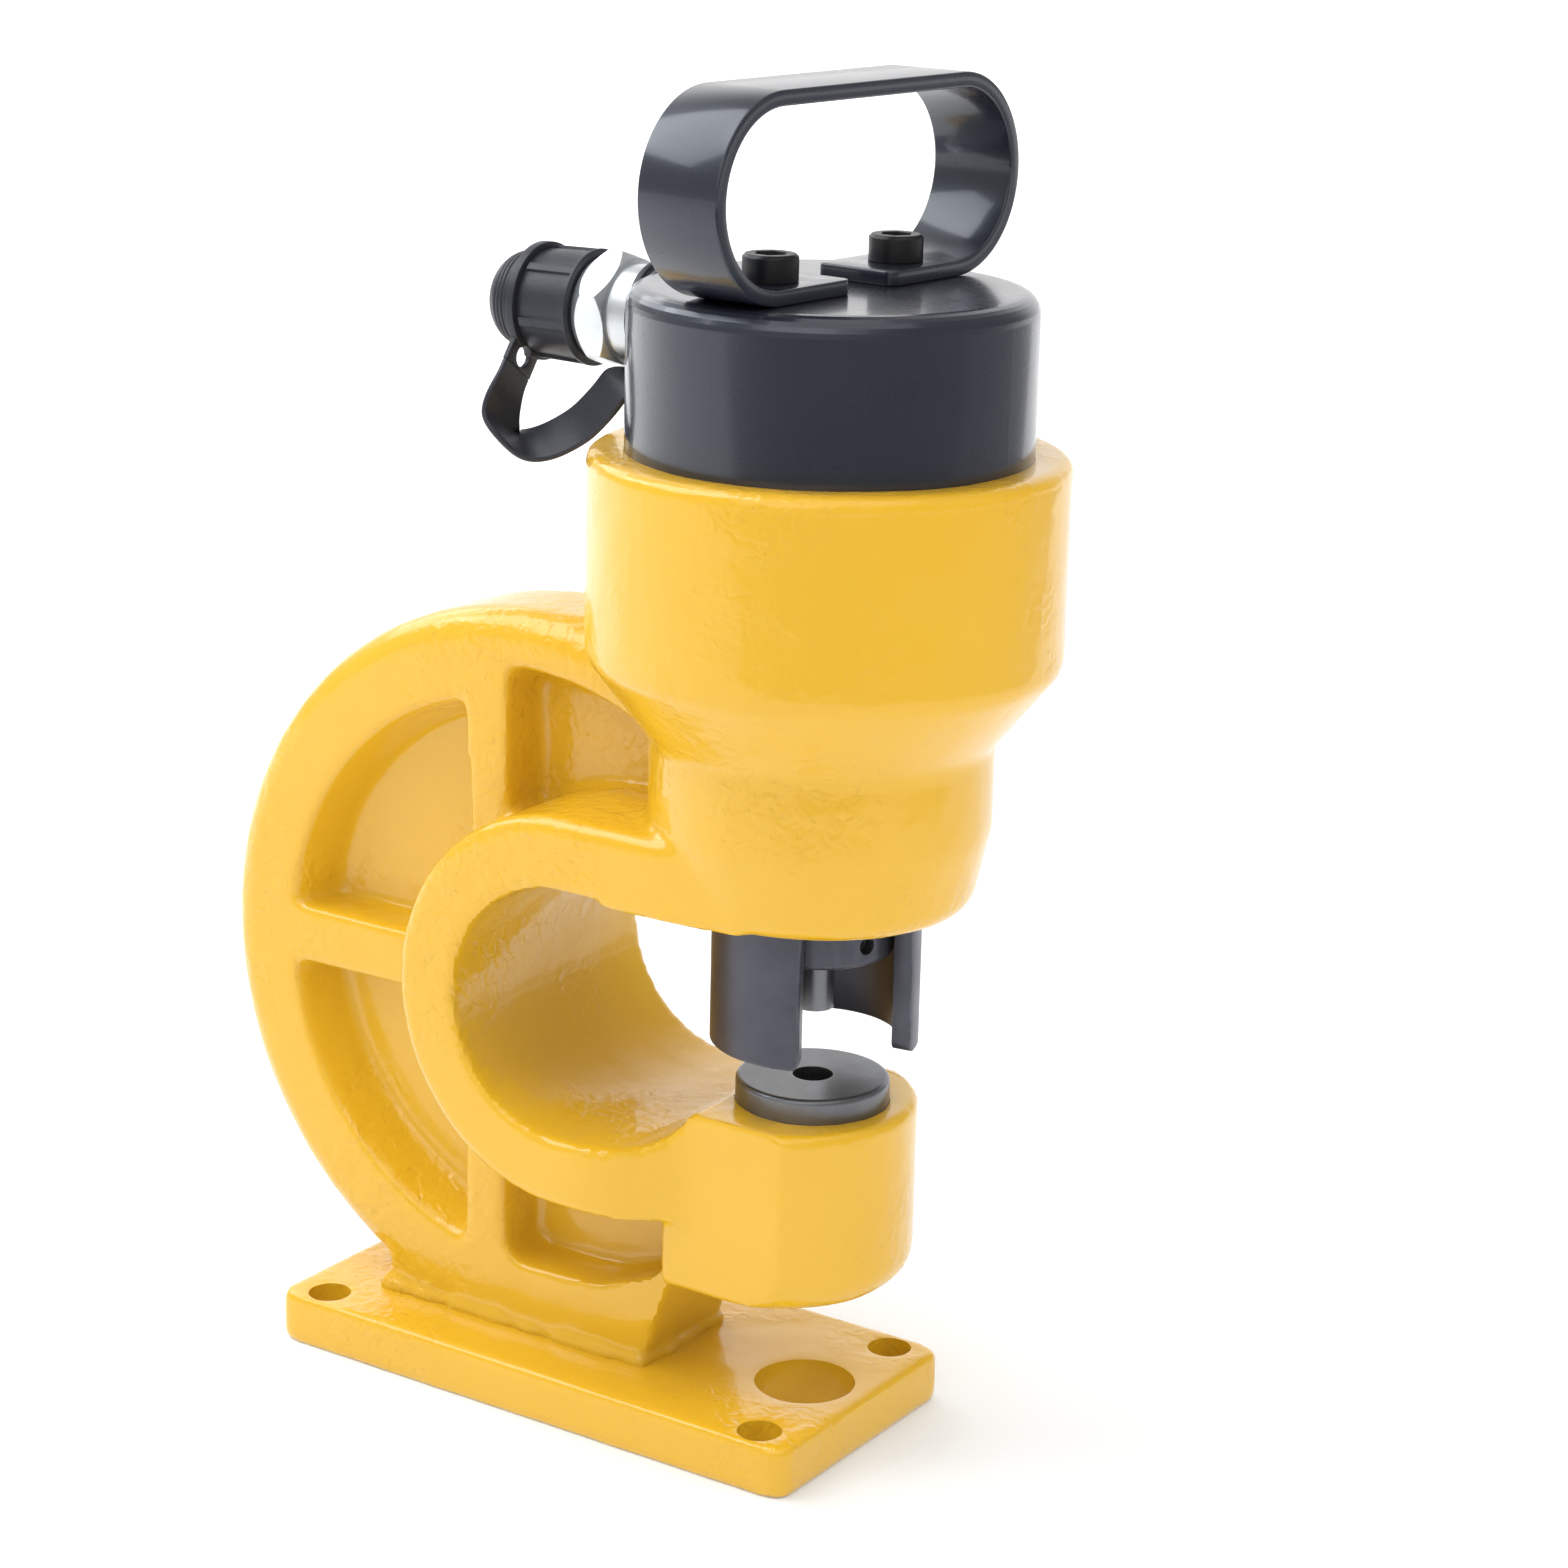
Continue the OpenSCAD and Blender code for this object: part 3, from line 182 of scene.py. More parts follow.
def buildEdgeWear():
    # where a rounded normal leaves the true one, the piece has an edge
    look = {'radius': 0.0012, 'gain': 6.0, 'spots': (3.0, 0.6), 'spotEdge': [(0.42, 0.0), (0.6, 1.0)]}
    group, ins, outs = newGroup('edgeWear', [
        ('Breakup', 'NodeSocketFloat', 60.0), ('Amount', 'NodeSocketFloat', 0.5)],
        [('Mask', 'NodeSocketFloat')])
    bevel = addNode(group, 'ShaderNodeBevel', samples=bevelSamples, Radius=look['radius'])
    geometry = addNode(group, 'ShaderNodeNewGeometry')
    dot = addNode(group, 'ShaderNodeVectorMath', operation='DOT_PRODUCT')
    group.links.new(bevel.outputs[0], dot.inputs[0])
    group.links.new(geometry.outputs['Normal'], dot.inputs[1])
    edge = maths(group, 'SUBTRACT', 1.0, dot.outputs['Value'])
    edge = maths(group, 'MULTIPLY', edge, look['gain'], clamp=True)
    coords = addNode(group, 'ShaderNodeTexCoord').outputs['Object']
    spots = ramp(group, noise(group, coords, ins.outputs['Breakup'], *look['spots']), look['spotEdge'])
    mask = maths(group, 'MULTIPLY', maths(group, 'MULTIPLY', edge, spots), ins.outputs['Amount'])
    group.links.new(mask, outs.inputs['Mask'])
    return group


def buildFineGrain():
    # handling marks: fine haze in the gloss, and a fine grain for the bump
    look = {'haze': (4.0, 0.6), 'fine': (900, 2.0, 0.5), 'middle': 0.5}
    group, ins, outs = newGroup('fineGrain', [
        ('Scale', 'NodeSocketFloat', 120.0), ('Haze', 'NodeSocketFloat', 0.1),
        ('Base', 'NodeSocketFloat', 0.3)],
        [('Roughness', 'NodeSocketFloat'), ('Height', 'NodeSocketFloat')])
    coords = addNode(group, 'ShaderNodeTexCoord').outputs['Object']
    haze = noise(group, coords, ins.outputs['Scale'], *look['haze'])
    fine = noise(group, coords, *look['fine'])
    spread = maths(group, 'MULTIPLY', maths(group, 'SUBTRACT', haze, look['middle']), ins.outputs['Haze'])
    group.links.new(maths(group, 'ADD', ins.outputs['Base'], spread, clamp=True), outs.inputs['Roughness'])
    group.links.new(fine, outs.inputs['Height'])
    return group


def buildTurnedLines():
    # fine rings left by a lathe, about an axis given by three weights
    look = {'lines': (1.0, 2.0, 0.7)}
    group, ins, outs = newGroup('turnedLines', [
        ('Along', 'NodeSocketVector', (0, 0, 1)), ('Pitch', 'NodeSocketFloat', 2500.0)],
        [('Height', 'NodeSocketFloat')])
    coords = addNode(group, 'ShaderNodeTexCoord').outputs['Object']
    dot = addNode(group, 'ShaderNodeVectorMath', operation='DOT_PRODUCT')
    group.links.new(coords, dot.inputs[0])
    group.links.new(ins.outputs['Along'], dot.inputs[1])
    scaled = maths(group, 'MULTIPLY', dot.outputs['Value'], ins.outputs['Pitch'])
    join = addNode(group, 'ShaderNodeCombineXYZ')
    group.links.new(scaled, join.inputs['Z'])
    group.links.new(noise(group, join.outputs[0], *look['lines']), outs.inputs['Height'])
    return group


groups = {'castRelief': buildCastRelief(), 'edgeWear': buildEdgeWear(), 'fineGrain': buildFineGrain(),
          'turnedLines': buildTurnedLines()}


def placeGroup(tree, name, **values):
    node = tree.nodes.new('ShaderNodeGroup')
    node.node_tree = groups[name]
    for key, value in values.items():
        node.inputs[key.replace('_', ' ')].default_value = value
    return node


def mixColour(tree, factor, first, second):
    # a mix node keeps its colour sockets behind those for numbers and vectors
    sockets = {'factor': 0, 'first': 6, 'second': 7, 'result': 2}
    node = tree.nodes.new('ShaderNodeMix')
    node.data_type = 'RGBA'
    for key, value in (('factor', factor), ('first', first), ('second', second)):
        socket = node.inputs[sockets[key]]
        if isinstance(value, tuple):
            socket.default_value = (*value, 1)
        else:
            tree.links.new(value, socket)
    return node.outputs[sockets['result']]


def newMaterial(name, **values):
    mat = bpy.data.materials.new(name)
    mat.use_nodes = True
    shader = mat.node_tree.nodes['Principled BSDF']
    for key, value in values.items():
        shader.inputs[key.replace('_', ' ')].default_value = value
    return mat, mat.node_tree, shader


def addBump(tree, shader, height, distance, rounded=0.0):
    bump = addNode(tree, 'ShaderNodeBump', Strength=1.0, Distance=distance)
    tree.links.new(height, bump.inputs['Height'])
    if rounded:
        bevel = addNode(tree, 'ShaderNodeBevel', samples=bevelSamples, Radius=rounded)
        tree.links.new(bevel.outputs[0], bump.inputs['Normal'])
    tree.links.new(bump.outputs[0], shader.inputs['Normal'])


def paintYellow():
    look = {'light': (0.87, 0.5, 0.024), 'deep': (0.82, 0.435, 0.014), 'dust': (0.55, 0.3, 0.03),
            'thrown': (0.68, 0.51, 0.21), 'deepShare': 0.35, 'dustShare': 0.08,
            'patchEdge': [(0.3, 0.0), (0.7, 1.0)], 'relief': {'Peel': 0.16, 'Dents': 1.15, 'Pits': 0.2},
            'grain': {'Scale': 70.0, 'Haze': 0.14, 'Base': 0.22}, 'bump': 0.0006}
    mat, tree, shader = newMaterial('yellowEnamel', Roughness=0.22, IOR=1.46, Coat_Weight=0.45,
                                    Coat_Roughness=0.04)
    relief = placeGroup(tree, 'castRelief', **look['relief'])
    tint = ramp(tree, relief.outputs['Patch'], look['patchEdge'])
    deepPart = maths(tree, 'MULTIPLY', tint, look['deepShare'])
    colour = mixColour(tree, deepPart, look['light'], look['deep'])
    dustPart = maths(tree, 'MULTIPLY', relief.outputs['Pit Mask'], look['dustShare'])
    colour = mixColour(tree, dustPart, colour, look['dust'])
    # the light that the paint throws on itself is paler than its own colour
    path = addNode(tree, 'ShaderNodeLightPath')
    colour = mixColour(tree, path.outputs['Is Diffuse Ray'], colour, look['thrown'])
    tree.links.new(colour, shader.inputs['Base Color'])
    grain = placeGroup(tree, 'fineGrain', **look['grain'])
    tree.links.new(grain.outputs['Roughness'], shader.inputs['Roughness'])
    addBump(tree, shader, relief.outputs['Height'], look['bump'])
    return mat


def paintBlack():
    look = {'colour': (0.0165, 0.0175, 0.028), 'worn': (0.07, 0.07, 0.08),
            'wear': {'Breakup': 90.0, 'Amount': 0.35}, 'grain': {'Scale': 45.0, 'Haze': 0.16, 'Base': 0.28},
            'bump': 0.00003, 'rounded': 0.0004}
    mat, tree, shader = newMaterial('blackEnamel', Roughness=0.28, IOR=1.5, Coat_Weight=0.7,
                                    Coat_Roughness=0.12, Specular_Tint=(0.78, 0.89, 1, 1))
    wear = placeGroup(tree, 'edgeWear', **look['wear'])
    colour = mixColour(tree, wear.outputs['Mask'], look['colour'], look['worn'])
    tree.links.new(colour, shader.inputs['Base Color'])
    grain = placeGroup(tree, 'fineGrain', **look['grain'])
    tree.links.new(grain.outputs['Roughness'], shader.inputs['Roughness'])
    addBump(tree, shader, grain.outputs['Height'], look['bump'], look['rounded'])
    return mat


def steel(name, colour, metallic, rough, worn=(0.4, 0.4, 0.42), wear=0.5, turned=None):
    look = {'breakup': 140.0, 'cloud': (55, 4.0, 0.6), 'cloudEdge': [(0.35, 0.0), (0.68, 1.0)], 'shade': 0.78,
            'grain': 90.0, 'haze': 0.2, 'grainUnderLines': 0.4, 'bump': 0.00003, 'rounded': 0.0004}
    mat, tree, shader = newMaterial(name, Metallic=metallic, Roughness=rough)
    mask = placeGroup(tree, 'edgeWear', Breakup=look['breakup'], Amount=wear).outputs['Mask']
    coords = addNode(tree, 'ShaderNodeTexCoord').outputs['Object']
    cloud = ramp(tree, noise(tree, coords, *look['cloud']), look['cloudEdge'])
    base = mixColour(tree, cloud, colour, tuple(c * look['shade'] for c in colour))
    tree.links.new(mixColour(tree, mask, base, worn), shader.inputs['Base Color'])
    grain = placeGroup(tree, 'fineGrain', Scale=look['grain'], Haze=look['haze'], Base=rough)
    tree.links.new(grain.outputs['Roughness'], shader.inputs['Roughness'])
    height = grain.outputs['Height']
    if turned:
        lines = placeGroup(tree, 'turnedLines', Along=turned).outputs['Height']
        height = maths(tree, 'ADD', maths(tree, 'MULTIPLY', height, look['grainUnderLines']), lines)
    addBump(tree, shader, height, look['bump'], look['rounded'])
    return mat


def mouldedPlastic():
    look = {'colours': ((0.02, 0.022, 0.03), (0.031, 0.033, 0.043)), 'cloud': (60, 3.0, 0.5),
            'grain': {'Scale': 160.0, 'Haze': 0.2, 'Base': 0.4}, 'bump': 0.00006, 'rounded': 0.0003}
    mat, tree, shader = newMaterial('blackPlastic', Roughness=0.42, IOR=1.46)
    coords = addNode(tree, 'ShaderNodeTexCoord').outputs['Object']
    cloud = noise(tree, coords, *look['cloud'])
    tree.links.new(mixColour(tree, cloud, *look['colours']), shader.inputs['Base Color'])
    grain = placeGroup(tree, 'fineGrain', **look['grain'])
    tree.links.new(grain.outputs['Roughness'], shader.inputs['Roughness'])
    addBump(tree, shader, grain.outputs['Height'], look['bump'], look['rounded'])
    return mat


def rubberOrPolymer(name, colour, rough):
    look = {'cloud': (110, 3.0, 0.5), 'shade': 0.7, 'grain': 200.0, 'haze': 0.15, 'bump': 0.00005}
    mat, tree, shader = newMaterial(name, Roughness=rough)
    coords = addNode(tree, 'ShaderNodeTexCoord').outputs['Object']
    cloud = noise(tree, coords, *look['cloud'])
    base = mixColour(tree, cloud, colour, tuple(c * look['shade'] for c in colour))
    tree.links.new(base, shader.inputs['Base Color'])
    grain = placeGroup(tree, 'fineGrain', Scale=look['grain'], Haze=look['haze'], Base=rough)
    tree.links.new(grain.outputs['Roughness'], shader.inputs['Roughness'])
    addBump(tree, shader, grain.outputs['Height'], look['bump'])
    return mat


materials = {
    'yellow_paint': paintYellow(),
    'black_paint': paintBlack(),
    'black_oxide': steel('blackOxide', (0.014, 0.014, 0.016), metallic=0.2, rough=0.38,
                         worn=(0.06, 0.06, 0.065)),
    'slate_steel': steel('slateOxide', (0.085, 0.087, 0.11), metallic=0.55, rough=0.36,
                         worn=(0.22, 0.22, 0.24), wear=0.8, turned=(0, 0, 1)),
    'tool_steel': steel('toolSteel', (0.2, 0.205, 0.22), metallic=0.8, rough=0.3, turned=(0, 0, 1)),
    'ground_steel': steel('groundSteel', (0.6, 0.61, 0.63), metallic=1.0, rough=0.16, turned=(0, 0, 1)),
    'spring_steel': steel('springSteel', (0.25, 0.26, 0.28), metallic=0.9, rough=0.32),
    'bronze': steel('turnedBronze', (0.55, 0.33, 0.13), metallic=1.0, rough=0.28, worn=(0.8, 0.6, 0.35),
                    turned=(0, 0, 1)),
    'seal_rubber': rubberOrPolymer('sealRubber', (0.02, 0.05, 0.16), rough=0.35),
    'white_polymer': rubberOrPolymer('whitePolymer', (0.72, 0.7, 0.62), rough=0.45),
    'brown_polymer': rubberOrPolymer('brownPolymer', (0.2, 0.09, 0.035), rough=0.6),
    'bright_zinc': steel('brightZinc', (0.86, 0.89, 0.91), metallic=0.9, rough=0.34,
                         worn=(0.85, 0.86, 0.87), wear=0.4, turned=(1, 0, 0)),
    'black_plastic': mouldedPlastic(),
}
print('materials ready:', len(materials))

solidSmoothAngle = 28
for part in frame["record"]["subparts"]:
    node = nodes[part["node"]]
    node.data.materials.clear()
    node.data.materials.append(materials[part["material_slot"]])
    smoothByAngle(node, solidSmoothAngle)
print('solids dressed:', len(nodes))


def tidyMesh(obj):
    pick(obj)
    bpy.ops.object.mode_set(mode='EDIT')
    bpy.ops.mesh.select_all(action='SELECT')
    bpy.ops.mesh.remove_doubles(threshold=weldDistance)
    bpy.ops.mesh.normals_make_consistent(inside=False)
    bpy.ops.object.mode_set(mode='OBJECT')


def splitLargeFaces(obj):
    # faces with many corners are split here, since the exporter's own split leaves thin folds along the cuts
    mostCorners = 4
    bm = bmesh.new()
    bm.from_mesh(obj.data)
    bmesh.ops.triangulate(bm, faces=[face for face in bm.faces if len(face.verts) > mostCorners])
    bm.to_mesh(obj.data)
    bm.free()


def addCylinder(name, radius, low, high, place=(0, 0), axis='Z', sides=96):
    # low and high are heights along the axis; place holds the two other coordinates
    deselectAll()
    mid = (low + high) / 2
    spot = {'Z': (*place, mid), 'Y': (place[0], mid, place[1]), 'X': (mid, *place)}[axis]
    turn = {'Z': (0, 0, 0), 'Y': (-math.pi / 2, 0, 0), 'X': (0, math.pi / 2, 0)}[axis]
    bpy.ops.mesh.primitive_cylinder_add(vertices=sides, radius=radius, depth=high - low, location=spot,
                                        rotation=turn)
    obj = bpy.context.object
    obj.name = name
    bpy.ops.object.transform_apply(location=True, rotation=True, scale=True)
    return obj


def joinAll(target, others):
    deselectAll()
    for other in others:
        other.select_set(True)
    target.select_set(True)
    bpy.context.view_layer.objects.active = target
    bpy.ops.object.join()


def cutAway(obj, cutter):
    applyModifier(obj, 'BOOLEAN', operation='DIFFERENCE', solver='EXACT', object=cutter)
    bpy.data.objects.remove(cutter, do_unlink=True)


def cloudRelief(obj, size, strength, depth=1):
    texture = bpy.data.textures.new(obj.name + 'Clouds', 'CLOUDS')
    texture.noise_scale = size
    texture.noise_depth = depth
    applyModifier(obj, 'DISPLACE', texture=texture, texture_coords='LOCAL', strength=strength, mid_level=0.5)


def finishPiece(obj, replaced, body, slotName):
    obj.data.materials.clear()
    obj.data.materials.append(materials[slotName])
    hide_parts(replaced)
    if body:
        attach(obj, body)
    print(obj.name, 'polygons', len(obj.data.polygons))


def waveBead(name, corners, radius, step, wave):
    # a bead of paint and weld along a closed line, thicker in places
    look = {'resolution': 3, 'quickWave': 1.7, 'slowWave': 0.61, 'shift': 1.3}
    curve = bpy.data.curves.new(name, 'CURVE')
    curve.dimensions = '3D'
    curve.bevel_depth = radius
    curve.bevel_resolution = look['resolution']
    points = []
    for start, end in zip(corners, corners[1:] + corners[:1]):
        start, end = Vector(start), Vector(end)
        count = max(2, round((end - start).length / step))
        points += [start.lerp(end, i / count) for i in range(count)]
    spline = curve.splines.new('POLY')
    spline.points.add(len(points) - 1)
    for i, point in enumerate(points):
        swell = math.sin(i * look['quickWave']) + math.sin(i * look['slowWave'] + look['shift'])
        spline.points[i].co = (*point, 1)
        spline.points[i].radius = 1 + wave * swell / 2
    spline.use_cyclic_u = True
    obj = bpy.data.objects.new(name, curve)
    bpy.context.scene.collection.objects.link(obj)
    pick(obj)
    bpy.ops.object.convert(target='MESH')
    return bpy.context.object


def fade(value, low, high):
    return min(1, max(0, (value - low) / (high - low)))


def spineShare(place):
    # the spine, its pockets and the foot have softer edges than head, ring and anvil
    look = {'throat': (-0.0572, 0.1283), 'ring': (0.056, 0.063), 'neck': (0.052, 0.058),
            'collar': (0.068, 0.074), 'collarFrom': 0.246, 'anvil': (0.039, 0.045), 'weld': (0.019, 0.025)}
    beyondRing = fade(math.hypot(place.x - look['throat'][0], place.z - look['throat'][1]), *look['ring'])
    turned = look['collar'] if place.z > look['collarFrom'] else look['neck']
    beyondHead = fade(math.hypot(place.x, place.y), *turned)
    return beyondRing * beyondHead * fade(-place.x, *look['anvil']) * fade(place.z, *look['weld'])


def softZone(obj, share):
    group = obj.vertex_groups.new(name='soft')
    for vertex in obj.data.vertices:
        weight = share(vertex.co)
        if weight > 0:
            group.add([vertex.index], weight, 'REPLACE')


def buildCasting():
    # the holes are plugged before the remesh and cut again after it, so that they stay true
    # each plug and cutter holds its name, radius, lower end and upper end
    # the cutters hold their number of sides too, and the two that lie across hold their height last
    look = {'voxel': 0.0016, 'smoothing': 0.5, 'rounds': 3, 'softRounds': 9, 'smoothAngle': 38,
            'dents': 0.00035, 'dentSize': 0.03, 'ripple': 0.00015, 'rippleSize': 0.007, 'rippleDepth': 2,
            'plugs': [('plugCollar', 0.0572, 0.2355, 0.2905), ('plugBush', 0.038, 0.186, 0.237),
                      ('plugHead', 0.031, 0.1642, 0.19), ('plugDie', 0.024, 0.06, 0.1032),
                      ('plugSlug', 0.0145, 0.0498, 0.07)],
            'sidePlugs': [('plugLock', 0.005, 0.05, 0.0654, 0.26),
                          ('plugGrub', 0.004, 0.02, 0.0318, 0.09895)],
            'sidePlugSides': 24,
            'foot': [(-0.1408, -0.0202, 0.0162), (-0.0446, -0.0202, 0.0162), (-0.0446, 0.0202, 0.0162),
                     (-0.1408, 0.0202, 0.0162)],
            'beadRadius': 0.0026, 'beadStep': 0.0035, 'beadWave': 0.3,
            'cutters': [('cutCollar', 0.0557, 0.2362, 0.31, 144), ('cutStripper', 0.0298, 0.15, 0.1843, 120),
                        ('cutHeadFace', 0.0335, 0.155, 0.1637, 120), ('cutDie', 0.0221, 0.0945, 0.12, 96),
                        ('cutAnvil', 0.031, 0.10395, 0.118, 120), ('cutSlug', 0.013, 0.03, 0.095, 72)],
            'sideCutters': [('cutLock', 0.0041, 0.05, 0.08, 48, 0.26),
                            ('cutGrub', 0.0031, 0.018, 0.05, 48, 0.09895)],
            'benchCutter': ('cutBench', 0.3, -0.05, 0.0153, 32)}
    cast = copyOfNode('frame', 'frameCasting')
    plugs = [addCylinder(*plug) for plug in look['plugs']]
    for *plug, height in look['sidePlugs']:
        plugs.append(addCylinder(*plug, (0, height), 'Y', look['sidePlugSides']))
    plugs.append(waveBead('footBead', look['foot'], look['beadRadius'], look['beadStep'], look['beadWave']))
    joinAll(cast, plugs)
    applyModifier(cast, 'REMESH', mode='VOXEL', voxel_size=look['voxel'], adaptivity=0, use_smooth_shade=True)
    applyModifier(cast, 'SMOOTH', factor=look['smoothing'], iterations=look['rounds'])
    softZone(cast, spineShare)
    applyModifier(cast, 'SMOOTH', factor=look['smoothing'], iterations=look['softRounds'],
                  vertex_group='soft')
    cloudRelief(cast, look['dentSize'], look['dents'])
    cloudRelief(cast, look['rippleSize'], look['ripple'], look['rippleDepth'])
    for *cutter, sides in look['cutters']:
        cutAway(cast, addCylinder(*cutter, sides=sides))
    for *cutter, sides, height in look['sideCutters']:
        cutAway(cast, addCylinder(*cutter, (0, height), 'Y', sides))
    *cutter, sides = look['benchCutter']
    cutAway(cast, addCylinder(*cutter, sides=sides))
    tidyMesh(cast)
    splitLargeFaces(cast)
    smoothByAngle(cast, look['smoothAngle'])
    finishPiece(cast, 'frame', 'frame', 'yellow_paint')


def cornerShare(place):
    # the plate's upright corners are rounder than its other edges
    look = {'middle': -0.072, 'half': (0.095, 0.0495), 'reach': 0.012}
    gaps = (look['half'][0] - abs(place.x - look['middle']), look['half'][1] - abs(place.y))
    return fade(-math.hypot(*gaps), -look['reach'], -look['reach'] / 2)


def buildBasePlate():
    # the holes are plugged before the remesh too; a kind of hole holds two radii and the sides of its plug
    look = {'voxel': 0.00125, 'smoothing': 0.5, 'rounds': 8, 'cornerRounds': 45, 'smoothAngle': 40,
            'dents': 0.0003, 'dentSize': 0.012, 'pitch': (0.159, 0.069), 'middle': -0.072,
            'bench': {'plug': 0.008, 'hole': 0.0065, 'sides': 32},
            'slug': {'plug': 0.0165, 'hole': 0.01475, 'sides': 48},
            'plugHeights': (0.0006, 0.0149), 'drillHeights': (-0.01, 0.03), 'drillSides': 72}
    plate = copyOfNode('base_plate', 'basePlateCast')
    holes = [((look['middle'] + sx * look['pitch'][0] / 2, sy * look['pitch'][1] / 2), look['bench'])
             for sx in (-1, 1) for sy in (-1, 1)]
    holes.append(((0, 0), look['slug']))
    joinAll(plate, [addCylinder('plugHole', kind['plug'], *look['plugHeights'], spot, sides=kind['sides'])
                    for spot, kind in holes])
    applyModifier(plate, 'REMESH', mode='VOXEL', voxel_size=look['voxel'], adaptivity=0,
                  use_smooth_shade=True)
    applyModifier(plate, 'SMOOTH', factor=look['smoothing'], iterations=look['rounds'])
    softZone(plate, cornerShare)
    applyModifier(plate, 'SMOOTH', factor=look['smoothing'], iterations=look['cornerRounds'],
                  vertex_group='soft')
    cloudRelief(plate, look['dentSize'], look['dents'])
    for spot, kind in holes:
        drill = addCylinder('drill', kind['hole'], *look['drillHeights'], spot, sides=look['drillSides'])
        cutAway(plate, drill)
    tidyMesh(plate)
    smoothByAngle(plate, look['smoothAngle'])
    finishPiece(plate, 'base_plate', 'frame', 'yellow_paint')


def softenedCopy(nodeName, pieceName, body, slotName, width):
    look = {'flatAngle': 0.4, 'segments': 3, 'edgeAngle': 33, 'smoothAngle': 30}
    obj = copyOfNode(nodeName, pieceName)
    applyModifier(obj, 'DECIMATE', decimate_type='DISSOLVE', angle_limit=math.radians(look['flatAngle']))
    bevelEdges(obj, width, look['segments'], look['edgeAngle'])
    applyModifier(obj, 'TRIANGULATE')
    smoothByAngle(obj, look['smoothAngle'])
    finishPiece(obj, nodeName, body, slotName)


def curveRows(rows, steps):
    # a smooth curve that follows the rows, as a cubic basis spline does
    first = [2 * a - b for a, b in zip(rows[0], rows[1])]
    last = [2 * a - b for a, b in zip(rows[-1], rows[-2])]
    held = [first] + [list(row) for row in rows] + [last]
    out = []
    for i in range(len(rows) - 1):
        for k in range(steps):
            t = k / steps
            weights = ((1 - t) ** 3 / 6, (3 * t ** 3 - 6 * t ** 2 + 4) / 6,
                       (-3 * t ** 3 + 3 * t ** 2 + 3 * t + 1) / 6, t ** 3 / 6)
            out.append([sum(w * held[i + j][n] for j, w in enumerate(weights)) for n in range(len(rows[0]))])
    return out + [list(rows[-1])]


